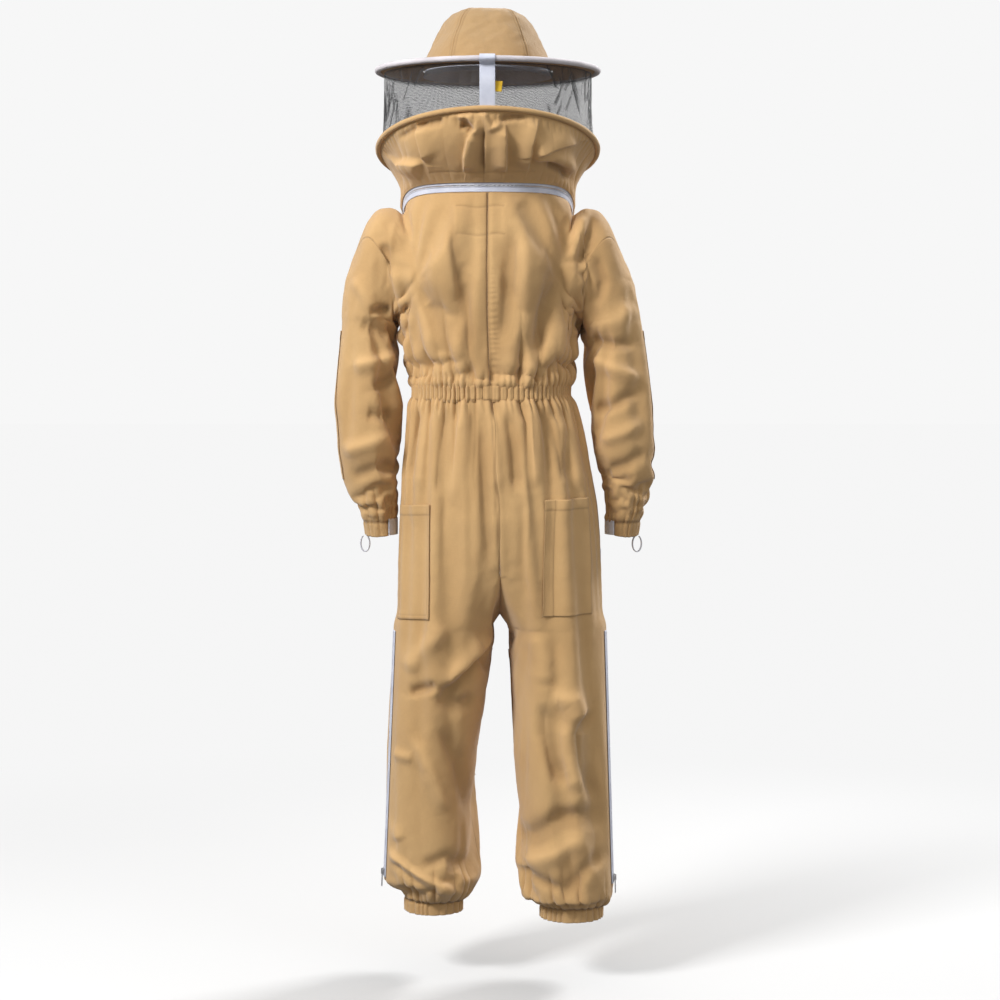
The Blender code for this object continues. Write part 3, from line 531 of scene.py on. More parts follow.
def hang():
    """Lets the cloth hang, with room in it, held at the neck, waist, wrists, ankles and zips."""
    start = points.copy()
    pin = np.zeros(len(points))
    room = np.full(len(points), 0.25)
    for _, word in SIDES:
        pin[vertex_rows(f"upper_back_{word}", -1, slice(0, NECK_COLUMNS + 1))] = 1
        pin[vertex_rows(f"upper_front_{word}", -1, slice(0, NECK_COLUMNS + 1))] = 1
        pin[vertex_rows(f"upper_front_{word}", slice(None), 0)] = 1
        pin[vertex_rows(f"seat_{word}", slice(None), 0)] = 1
        pin[vertex_rows(f"outer_{word}", slice(-CUFF_ROWS, None))] = 1
        pin[vertex_rows(f"inner_{word}", slice(-CUFF_ROWS, None))] = 1
        pin[vertex_rows(f"sleeve_{word}", slice(-3, None))] = 1
        for name in (f"upper_back_{word}", f"upper_front_{word}"):
            pin[vertex_rows(name, slice(0, 2))] = 1
        pin[vertex_rows(f"seat_{word}", slice(0, 2))] = 1
        # room in the cloth
        for name in (f"outer_{word}", f"inner_{word}"):
            index = net.patches[name]
            share = np.linspace(0, 1, index.shape[0])
            values = 0.25 + 0.75 * smooth((share - 0.35) / 0.5)
            room[index] = np.maximum(room[index], values[:, None])
        index = net.patches[f"sleeve_{word}"]
        share = np.linspace(0, 1, index.shape[0])
        room[index] = (0.15 + 0.85 * smooth((share - 0.15) / 0.5))[:, None]
        for name in (f"upper_back_{word}", f"upper_front_{word}"):
            index = net.patches[name]
            share = np.linspace(0, 1, index.shape[0])
            room[index] = np.maximum(0.10, 0.55 * smooth(1 - share / 0.5))[:, None]
    start += 0.0012 * np.stack([fractal(points, 0.09, 3 + k) for k in range(3)], axis=1)
    start[pin == 1] = points[pin == 1]
    cloth = mesh_from("hanging_cloth", start, net.faces(flip=FLIPPED))
    group = cloth.vertex_groups.new(name="pin")
    for i in np.flatnonzero(pin):
        group.add([int(i)], float(pin[i]), "REPLACE")
    looser = cloth.vertex_groups.new(name="room")
    for i in range(len(points)):
        looser.add([i], float(room[i]), "REPLACE")
    body = wearer()
    for part in body:
        part.modifiers.new("hit", "COLLISION")
        part.collision.thickness_outer = 0.004
        part.collision.cloth_friction = 12
    modifier = cloth.modifiers.new("cloth", "CLOTH")
    c = modifier.settings
    c.quality = 5
    c.mass = 0.28
    c.air_damping = 2.0
    c.tension_stiffness = c.compression_stiffness = 30
    c.shear_stiffness = 12
    c.bending_model = "ANGULAR"
    c.bending_stiffness = 2.2
    c.tension_damping = c.compression_damping = 12
    c.bending_damping = 1.0
    c.vertex_group_mass = "pin"
    c.shrink_min, c.shrink_max = -0.01, -0.14
    c.vertex_group_shrink = "room"
    k = modifier.collision_settings
    k.use_collision = True
    k.collision_quality = 2
    k.distance_min = 0.004
    k.use_self_collision = False
    scene = bpy.context.scene
    scene.gravity = (0, 0, -9.81)
    modifier.point_cache.frame_start, modifier.point_cache.frame_end = 1, SIM_FRAMES + 5
    for f in range(1, SIM_FRAMES + 1):
        scene.frame_set(f)
    evaluated = cloth.evaluated_get(bpy.context.evaluated_depsgraph_get())
    mesh = evaluated.to_mesh()
    out = np.zeros(len(mesh.vertices) * 3)
    mesh.vertices.foreach_get("co", out)
    evaluated.to_mesh_clear()
    out = out.reshape(-1, 3)
    for o in [cloth, *body]:
        bpy.data.objects.remove(o)
    scene.frame_set(1)
    return out


ZIP_ANGLE = math.radians(103)  # where round the leg its zip runs, from the front
CELL = 0.010        # about the size of the net's squares, in metres
PANELS = [f"{kind}_{word}"
          for kind in ("back_panel", "front_panel", "trouser_back", "trouser_front", "sleeve")
          for word in ("left", "right")]


def settled(start, hanging):
    """Keeps the folds that hanging put in the cloth, and only a part of its broad drift."""
    faces = np.array(net.faces(flip=FLIPPED))
    ends = np.concatenate([faces[:, [k, (k + 1) % faces.shape[1]]] for k in range(faces.shape[1])])
    ends = np.concatenate([ends, ends[:, ::-1]])
    links = np.maximum(np.bincount(ends[:, 0], minlength=len(start)), 1)
    move = hanging - start
    held = np.linalg.norm(move, axis=1) < 1e-6
    broad = move.copy()
    for _ in range(60):
        near = np.stack([np.bincount(ends[:, 0], broad[ends[:, 1], k], len(start)) for k in range(3)], 1)
        broad = 0.5 * broad + 0.5 * near / links[:, None]
        broad[held] = 0
    folds_only = move - broad
    size = np.linalg.norm(folds_only, axis=1, keepdims=True)
    return start + DRIFT_KEPT * broad + folds_only * np.minimum(1, LARGEST_FOLD / np.maximum(size, 1e-9))


def shouldered(cloth):
    """Rounds the shoulders, which slope from the neck's ring to the tops of the sleeves."""
    x, h = np.abs(cloth[:, 0]), cloth[:, 2] + SHOULDER_HEIGHT
    out = cloth.copy()
    ring = neck_point(np.radians(np.arange(0, 360, 3.0)))
    clear = np.min([np.linalg.norm(cloth - point, axis=1) for point in ring], axis=0)
    out[:, 2] += (0.029 * smooth(clear / 0.024) * smooth((x - 0.145) / 0.04) * smooth((0.264 - x) / 0.06)
                  * smooth((h - 1.34) / 0.13))
    out[:, 2] -= 0.040 * smooth((x - 0.232) / 0.035) * smooth((h - 1.35) / 0.09)
    # in front, the cloth keeps under the neck zip's sliders and pulls
    under = ((1 - smooth((clear - 0.016) / 0.040)) * smooth((0.050 - cloth[:, 1]) / 0.05))[:, None]
    out = out * (1 - under) + points * under
    flat_out = points[:, :2] / np.maximum(np.linalg.norm(points[:, :2], axis=1, keepdims=True), 1e-6)
    out[:, :2] -= 0.0024 * under * flat_out
    return out


hung = shouldered(settled(points, hang()))


# ---------------------------------------------------------------- mesh helpers
def new_object(name, co, faces_flat, starts, uv=None, smooth_shading=True):
    """An object from numpy arrays; starts holds where each face's corners begin."""
    mesh = bpy.data.meshes.new(name)
    mesh.vertices.add(len(co))
    mesh.vertices.foreach_set("co", np.ascontiguousarray(co, np.float32).ravel())
    mesh.loops.add(len(faces_flat))
    mesh.loops.foreach_set("vertex_index", np.ascontiguousarray(faces_flat, np.int32))
    mesh.polygons.add(len(starts))
    mesh.polygons.foreach_set("loop_start", np.ascontiguousarray(starts, np.int32))
    if uv is not None:
        mesh.uv_layers.new(name="cut").data.foreach_set("uv", np.ascontiguousarray(uv, np.float32).ravel())
    mesh.update(calc_edges=True)
    mesh.validate()
    if smooth_shading:
        mesh.shade_smooth()
    made = bpy.data.objects.new(name, mesh)
    bpy.context.scene.collection.objects.link(made)
    return made


def grid_object(name, grid, wrap_rows=False, wrap_columns=False, caps=False, size=None, marks=None):
    """A grid of points as a mesh. Its UV map is in metres: those of size, or else the grid's own."""
    n, m = grid.shape[:2]
    rows = np.arange(n if wrap_rows else n - 1)
    columns = np.arange(m if wrap_columns else m - 1)
    i, j = np.meshgrid(rows, columns, indexing="ij")
    i, j = i.ravel(), j.ravel()
    i1, j1 = (i + 1) % n, (j + 1) % m
    quads = np.stack([i * m + j, i * m + j1, i1 * m + j1, i1 * m + j], axis=1)
    if size is None:
        across = np.linalg.norm(np.diff(grid, axis=1), axis=2).sum(1).max()
        down = np.linalg.norm(np.diff(grid, axis=0), axis=2).sum(0).max()
        size = (across, down)
    u, v = size[0] / max(m - 1, 1), size[1] / max(n - 1, 1)
    uv = np.stack([np.stack([j, j + 1, j + 1, j], 1) * u, np.stack([i, i, i + 1, i + 1], 1) * v], axis=-1)
    flat, starts = quads.ravel(), np.arange(len(quads)) * 4
    uv = uv.reshape(-1, 2)
    if caps:
        for k, row in enumerate((0, n - 1)):
            ring = row * m + np.arange(m)
            ring = ring[::-1] if k == 0 else ring
            starts = np.append(starts, len(flat))
            flat = np.append(flat, ring)
            uv = np.concatenate([uv, np.zeros((m, 2))])
    made = outward(new_object(name, grid.reshape(-1, 3), flat, starts, uv))
    for word, values in (marks or {}).items():
        paint(made, word, np.asarray(values).ravel())
    return made


def paint(made, word, values):
    layer = made.data.attributes.get(word) or made.data.attributes.new(word, "FLOAT", "POINT")
    layer.data.foreach_set("value", np.ascontiguousarray(values, np.float32))


def grid_normals(grid, away):
    """A grid's normals, on the side that away points to."""
    normal = np.cross(np.gradient(grid, axis=1), np.gradient(grid, axis=0))
    normal /= np.linalg.norm(normal, axis=2, keepdims=True) + 1e-12
    return normal * np.sign((normal * away).sum(2, keepdims=True))


def thickness(made, depth, offset=-1.0):
    shell = made.modifiers.new("thickness", "SOLIDIFY")
    shell.thickness, shell.offset = depth, offset
    shell.use_even_offset = False
    return made


def sweep(name, centre, out, profile, closed=False):
    """A closed section carried along a path. profile holds (across, outwards), once or for every station."""
    centre, out = np.asarray(centre, float), np.asarray(out, float)
    n = len(centre)
    if closed:
        along = np.roll(centre, -1, 0) - np.roll(centre, 1, 0)
    else:
        along = np.gradient(centre, axis=0)
    along = unit(along)
    out = np.broadcast_to(out, centre.shape)
    out = unit(out - along * (out * along).sum(1, keepdims=True))
    across = np.cross(along, out)
    profile = np.asarray(profile, float)
    if profile.ndim == 2:
        profile = np.repeat(profile[None], n, 0)
    grid = centre[:, None] + across[:, None] * profile[..., :1] + out[:, None] * profile[..., 1:]
    return grid_object(name, grid, wrap_rows=closed, wrap_columns=True, caps=not closed)


def tape_profile(low, high, back, front, ribs=0, relief=0.00012, count=24):
    """A flat tape's section: across from low to high, and outwards from back to front, with woven ribs."""
    x = np.linspace(low, high, count)
    edge = 0.00035
    lift = relief * np.cos(2 * math.pi * ribs * (x - low) / (high - low)) if ribs else 0.0
    round_off = edge * (np.abs(np.linspace(-1, 1, count)) ** 8)
    top = np.stack([x, front - round_off + lift], 1)
    bottom = np.stack([x[::-1], np.full(count, back) + round_off], 1)
    return np.concatenate([top, bottom])


def boxes(name, centre, along, across, out, sizes):
    """Many small chamfered blocks, one at each centre, as one mesh: zip teeth."""
    half = np.array(sizes) / 2
    cut = 0.3 * half.min()
    outline = np.array([(-half[0] + cut, -half[1]), (half[0] - cut, -half[1]), (half[0], -half[1] + cut),
                        (half[0], half[1] - cut), (half[0] - cut, half[1]), (-half[0] + cut, half[1]),
                        (-half[0], half[1] - cut), (-half[0], -half[1] + cut)])
    n, m = len(centre), len(outline)
    ends = []
    for w in (-half[2], half[2]):
        ends.append(centre[:, None] + across[:, None] * outline[None, :, :1]
                    + along[:, None] * outline[None, :, 1:] + out[:, None] * w)
    co = np.concatenate(ends, axis=1)                      # (n, 2m, 3)
    base = (np.arange(n) * 2 * m)[:, None]
    k = np.arange(m)
    sides = np.stack([k, (k + 1) % m, (k + 1) % m + m, k + m], 1).ravel()
    low, high = np.arange(m)[::-1], np.arange(m) + m
    one = np.concatenate([sides, low, high])
    counts = np.concatenate([np.full(m, 4), [m, m]])
    flat = (base + one[None]).ravel()
    starts = np.concatenate([[0], np.cumsum(np.tile(counts, n))[:-1]])
    return outward(new_object(name, co.reshape(-1, 3), flat, starts, smooth_shading=False))


def joined(main, *others):
    """Others become part of main, with their own materials."""
    with bpy.context.temp_override(active_object=main, selected_editable_objects=[main, *others]):
        bpy.ops.object.join()
    return main


# ---------------------------------------------------------------- materials
class Shader:
    """A Principled material and short ways to add nodes to it."""

    def __init__(self, name, **settings):
        self.material = bpy.data.materials.new(name)
        self.material.use_nodes = True
        self.tree = self.material.node_tree
        self.surface = next(n for n in self.tree.nodes if n.type == "BSDF_PRINCIPLED")
        for word, value in settings.items():
            self.surface.inputs[word.replace("_", " ").title()].default_value = value

    def add(self, kind, inputs=(), **settings):
        node = self.tree.nodes.new(kind)
        for word, value in settings.items():
            setattr(node, word, value)
        for socket, value in dict(inputs).items():
            if isinstance(value, bpy.types.NodeSocket):
                self.tree.links.new(value, node.inputs[socket])
            else:
                node.inputs[socket].default_value = value
        return node

    def math(self, operation, a, b=0.0):
        return self.add("ShaderNodeMath", {0: a, 1: b}, operation=operation).outputs[0]

    def mark(self, word):
        return self.add("ShaderNodeAttribute", attribute_name=word).outputs["Fac"]

    def where(self, space="UV", scale=(1, 1, 1), turn=0.0):
        source = self.add("ShaderNodeTexCoord").outputs[space]
        return self.add("ShaderNodeMapping",
                        {"Vector": source, "Scale": scale, "Rotation": (0, 0, turn)}).outputs[0]

    def noise(self, where, scale, detail=2.0, roughness=0.5):
        node = self.add("ShaderNodeTexNoise", {"Vector": where, "Scale": scale, "Detail": detail,
                                               "Roughness": roughness})
        return node.outputs["Fac"]

    def between(self, value, low, high, to_low=0.0, to_high=1.0):
        node = self.add("ShaderNodeMapRange", {"Value": value, "From Min": low, "From Max": high,
                                               "To Min": to_low, "To Max": to_high})
        return node.outputs[0]

    def blend(self, factor, a, b, mode="MIX"):
        node = self.add("ShaderNodeMix", data_type="RGBA", blend_type=mode)
        for socket, value in ((0, factor), (6, a), (7, b)):
            if isinstance(value, bpy.types.NodeSocket):
                self.tree.links.new(value, node.inputs[socket])
            else:
                node.inputs[socket].default_value = value
        return node.outputs[2]

    def bumps(self, *layers):
        """Layers of (height, distance, strength), coarse first."""
        normal = None
        for height, distance, strength in layers:
            inputs = {"Height": height, "Distance": distance, "Strength": strength}
            if normal is not None:
                inputs["Normal"] = normal
            normal = self.add("ShaderNodeBump", inputs).outputs[0]
        self.to("Normal", normal)

    def to(self, socket, value):
        self.tree.links.new(value, self.surface.inputs[socket])


def linear(*rgb):
    return tuple((c / 255 / 12.92 if c / 255 <= 0.04045 else ((c / 255 + 0.055) / 1.055) ** 2.4)
                 for c in rgb) + (1.0,)


def twill(name, light, dark, seam_and_fold_shade, sheen=0.25):
    """Cotton twill: diagonal ribs, uneven yarns, soft creasing, and darker in seams; deep folds get painted
    shade and fold crests a painted highlight.
    """
    s = Shader(name, roughness=0.86, sheen_weight=sheen, sheen_roughness=0.55)
    s.surface.inputs["Specular IOR Level"].default_value = 0.25
    ribs = s.add("ShaderNodeTexWave", {"Vector": s.where(), "Scale": 500.0, "Distortion": 0.6, "Detail": 1.0},
                 wave_type="BANDS", bands_direction="DIAGONAL").outputs["Fac"]
    warp = s.noise(s.where(scale=(900, 60, 1)), 1.0)
    weft = s.noise(s.where(scale=(60, 900, 1)), 1.0)
    cloudy = s.noise(s.where("Object"), 5.0, 3.0, 0.6)
    creasing = s.noise(s.where("Object", (38, 38, 24)), 1.0, 4.0, 0.62)
    shade = s.blend(s.between(cloudy, 0.3, 0.72), light, dark)
    yarn = s.between(s.math("ADD", warp, weft), 0.7, 1.3, 0.93, 1.07)
    shade = s.blend(0.5, shade, s.add("ShaderNodeCombineColor", {0: yarn, 1: yarn, 2: yarn}).outputs[0],
                    "MULTIPLY")
    shade = s.blend(s.between(ribs, 0.0, 1.0, 0.10, 0.0), shade, seam_and_fold_shade)
    # the seam mark darkens seams and panel rims, and also carries painted shade in the valleys of folds and
    # gathers
    shade = s.blend(s.between(s.mark("seam"), 0.0, 1.0, 0.0, 0.62), shade, seam_and_fold_shade)
    # the worn mark lightens the cloth: real wear at seam and pocket edges, and a painted highlight on the
    # crests of folds and gathers
    shade = s.blend(s.between(s.mark("worn"), 0.0, 1.0, 0.0, 0.30), shade, (min(1, light[0] * 1.25),
                    min(1, light[1] * 1.25), min(1, light[2] * 1.3), 1))
    s.to("Base Color", shade)
    s.to("Roughness", s.between(cloudy, 0.2, 0.8, 0.80, 0.93))
    s.bumps((creasing, 0.0030, 0.30), (s.math("ADD", ribs, s.math("ADD", warp, weft)), 0.00018, 0.55))
    return s.material


def woven(name, light, dark, rib=0.0011, rib_direction="X", depth=0.0003, rough=0.7):
    """A narrow woven tape or an elastic: ribs one way, fine yarns the other, and slight soiling."""
    s = Shader(name, roughness=rough, sheen_weight=0.15, sheen_roughness=0.5)
    ribs = s.add("ShaderNodeTexWave",
                 {"Vector": s.where(), "Scale": 2 * math.pi / (20 * rib), "Distortion": 0.3},
                 wave_type="BANDS", bands_direction=rib_direction).outputs["Fac"]
    yarns = s.noise(s.where(scale=(1400, 1400, 1)), 1.0)
    soil = s.noise(s.where("Object"), 24.0, 3.0, 0.6)
    shade = s.blend(s.between(soil, 0.35, 0.75), light, dark)
    shade = s.blend(s.between(ribs, 0.0, 1.0, 0.28, 0.0), shade, dark)
    s.to("Base Color", shade)
    s.to("Roughness", s.between(soil, 0.2, 0.8, rough - 0.06, rough + 0.1))
    s.bumps((ribs, depth, 0.6), (yarns, 0.00010, 0.4))
    return s.material


def net_material():
    """Black knitted net: square holes between thin yarns, closing up where the net is creased."""
    s = Shader("black_net", roughness=0.6, sheen_weight=0.1)
    place_on = s.add("ShaderNodeSeparateXYZ", {0: s.where(scale=(1 / 0.0021, 1 / 0.0021, 1), turn=0.18)})
    yarn = s.between(s.mark("fold"), 0.0, 1.0, 0.23, 0.88)
    lines = [s.math("LESS_THAN", s.math("FRACT", place_on.outputs[k]), yarn) for k in (0, 1)]
    cover = s.math("MAXIMUM", *lines)
    uneven = s.noise(s.where("Object"), 60.0, 2.0)
    s.to("Alpha", cover)
    s.to("Base Color", s.blend(s.between(uneven, 0.3, 0.7), linear(22, 22, 24), linear(48, 48, 52)))
    s.to("Roughness", s.between(uneven, 0.2, 0.8, 0.5, 0.7))
    s.bumps((uneven, 0.0004, 0.4),)
    return s.material


def metal(name, light, dark, rough):
    """Plated metal, with faint brushing and small scratches."""
    s = Shader(name, metallic=1.0, roughness=rough)
    brushed = s.noise(s.where("Object", (300, 300, 2500)), 1.0, 2.0)
    worn = s.noise(s.where("Object"), 180.0, 4.0, 0.7)
    s.to("Base Color", s.blend(s.between(worn, 0.35, 0.7), light, dark))
    s.to("Roughness", s.between(brushed, 0.2, 0.8, rough - 0.08, rough + 0.12))
    s.bumps((worn, 0.00012, 0.3), (brushed, 0.00005, 0.3))
    return s.material


KHAKI = twill("khaki_cloth", linear(204, 166, 114), linear(190, 151, 101), linear(104, 74, 42))
# the hat's khaki is the suit's cloth painted darker: painted shade against the stronger light on the hat from
# above
KHAKI_HAT_SHADED = twill("khaki_hat_shaded_cloth", linear(176, 144, 101), linear(164, 132, 90), linear(94, 68, 40))
TAPE = woven("white_tape", linear(214, 217, 229), linear(190, 194, 210))
ELASTIC = woven("white_elastic", linear(232, 232, 238), linear(196, 197, 208), rib=0.0016, rib_direction="Y",
                depth=0.0005)
BINDING = woven("white_binding", linear(214, 208, 212), linear(186, 180, 184), rib=0.0009, depth=0.0002)
TEETH = woven("white_teeth", linear(226, 227, 234), linear(176, 178, 190), rib=0.0012, rough=0.35)
YELLOW = woven("yellow_label", linear(226, 184, 40), linear(200, 156, 22), rib=0.0008)
NET = net_material()
STEEL = metal("spring_steel", (0.62, 0.62, 0.60, 1), (0.45, 0.44, 0.42, 1), 0.32)
ZIP_METAL = metal("zip_metal", (0.72, 0.72, 0.74, 1), (0.55, 0.55, 0.57, 1), 0.28)


def dress(piece, material, body=None, nodes=()):
    """The material, body, CAD nodes and slot of a new piece."""
    if material is not None:
        piece.data.materials.clear()
        piece.data.materials.append(material)
    if body:
        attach(piece, body)
    if nodes:
        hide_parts(*nodes)
    return piece


# ---------------------------------------------------------------- the fine cloth
def cut_place(patch, i, j):
    """Where a corner of a patch lies on its cut piece, in metres."""
    kind = patch.rsplit("_", 1)[0]
    if kind in ("upper_back", "upper_front"):
        return j * CELL, -i * CELL
    if kind in ("seat", "sleeve"):
        return j * CELL, i * CELL
    if kind == "outer":
        return j * CELL, (SEAT_ROWS + i) * CELL
    return ((2 * QUARTER + j) if j <= INNER // 2 else (j - INNER)) * CELL, (SEAT_ROWS + i) * CELL


def panel_of(patch, j):
    kind, word = patch.rsplit("_", 1)
    if kind in ("upper_back", "upper_front"):
        return f"{kind[6:]}_panel_{word}"
    if kind == "sleeve":
        return f"sleeve_{word}"
    back = j < INNER // 2 if kind == "inner" else j >= QUARTER
    return f"trouser_{'back' if back else 'front'}_{word}"


KINDS = ("upper_back", "upper_front", "seat", "outer", "inner", "sleeve")


def subdivided():
    """The hung net, twice subdivided: positions, normals, faces, owners, kinds and cut places."""
    faces, owner, uv = [], [], []
    for patch, index in net.patches.items():
        kind = patch.rsplit("_", 1)[0]
        for i in range(index.shape[0] - 1):
            for j in range(index.shape[1] - 1):
                corners = ((i, j), (i, j + 1), (i + 1, j + 1), (i + 1, j))
                corners = corners[::-1] if patch in FLIPPED else corners
                face = [int(index[c]) for c in corners]
                if len(set(face)) < 4:
                    continue
                faces.append(face)
                owner.append(PANELS.index(panel_of(patch, j)) * 8 + KINDS.index(kind))
                if kind == "inner":  # a face keeps to one side of the inner seam
                    back = j < INNER // 2
                    uv += [(((2 * QUARTER + c[1]) if back else (c[1] - INNER)) * CELL,
                            (SEAT_ROWS + c[0]) * CELL)
                           for c in corners]
                else:
                    uv += [cut_place(patch, *c) for c in corners]
    made = mesh_from("whole_cloth", hung, faces)
    made.data.polygons.foreach_set("material_index", np.array(owner, np.int32))
    made.data.uv_layers.new(name="cut").data.foreach_set("uv", np.array(uv, np.float32).ravel())
    sub = made.modifiers.new("sub", "SUBSURF")
    sub.levels = sub.render_levels = 2
    sub.uv_smooth = "NONE"
    mesh = made.evaluated_get(bpy.context.evaluated_depsgraph_get()).to_mesh()
    co = np.zeros(len(mesh.vertices) * 3)
    mesh.vertices.foreach_get("co", co)
    normals = np.zeros(len(mesh.vertices) * 3)
    mesh.vertex_normals.foreach_get("vector", normals)
    loops = np.zeros(len(mesh.loops), np.int64)
    mesh.loops.foreach_get("vertex_index", loops)
    owners = np.zeros(len(mesh.polygons), np.int32)
    mesh.polygons.foreach_get("material_index", owners)
    places = np.zeros(len(mesh.loops) * 2)
    mesh.uv_layers["cut"].data.foreach_get("uv", places)
    bpy.data.objects.remove(made)
    return co.reshape(-1, 3), normals.reshape(-1, 3), loops.reshape(-1, 4), owners, places.reshape(-1, 4, 2)


def bell(value, width):
    return np.exp(-(value / width) ** 2)


def near_line(x, h, line):
    """Distance to a line of (x, height) points, which side of it, and how far along it from 0 to 1."""
    line = np.array(line, float)
    runs = np.linalg.norm(np.diff(line, axis=0), axis=1)
    total, start = runs.sum(), 0.0
    best, side, share = np.full(x.shape, 9.0), np.zeros(x.shape), np.zeros(x.shape)
    for (x0, h0), (x1, h1), run in zip(line[:-1], line[1:], runs):
        dx, dh = (x1 - x0) / run, (h1 - h0) / run
        t = np.clip((x - x0) * dx + (h - h0) * dh, 0, run)
        px, ph = x - x0 - t * dx, h - h0 - t * dh
        d = np.hypot(px, ph)
        closer = d < best
        best = np.where(closer, d, best)
        side = np.where(closer, np.sign(dx * ph - dh * px), side)
        share = np.where(closer, (start + t) / total, share)
        start += run
    return best, side, share


def folds(x, h, strokes):
    """The sum of folds. Each is (height of the fold, width to the line's left, to its right, line)."""
    total = np.zeros(x.shape)
    for amount, left, right, line in strokes:
        box = np.array(line)
        reach = 3 * max(left, right)
        near = ((x > box[:, 0].min() - reach) & (x < box[:, 0].max() + reach)
                & (h > box[:, 1].min() - reach) & (h < box[:, 1].max() + reach))
        if not near.any():
            continue
        d, side, share = near_line(x[near], h[near], line)
        taper = smooth(share / 0.22) * smooth((1 - share) / 0.22) * 0.85 + 0.15
        total[near] += amount * taper * bell(d, np.where(side > 0, left, right))
    return total


def ripple(angle, count, seed, sharp=0.62):
    """Gathers round a ring, uneven in pitch and height: round ridges and narrow valleys, from -1 to 1."""
    local = np.random.default_rng(seed)
    phase = angle * count
    for k in (1, 2, 3, 5, 8):
        phase = phase + local.uniform(0.4, 1.1) * 1.6 * np.sin(k * angle + local.uniform(0, 6.28))
    wave = np.abs(np.sin(phase / 2)) ** sharp * 2 - 1
    uneven = sum(np.sin(k * angle + local.uniform(0, 6.28)) for k in (3, 4, 7)) / 3
    return wave * (0.72 + 0.4 * uneven)


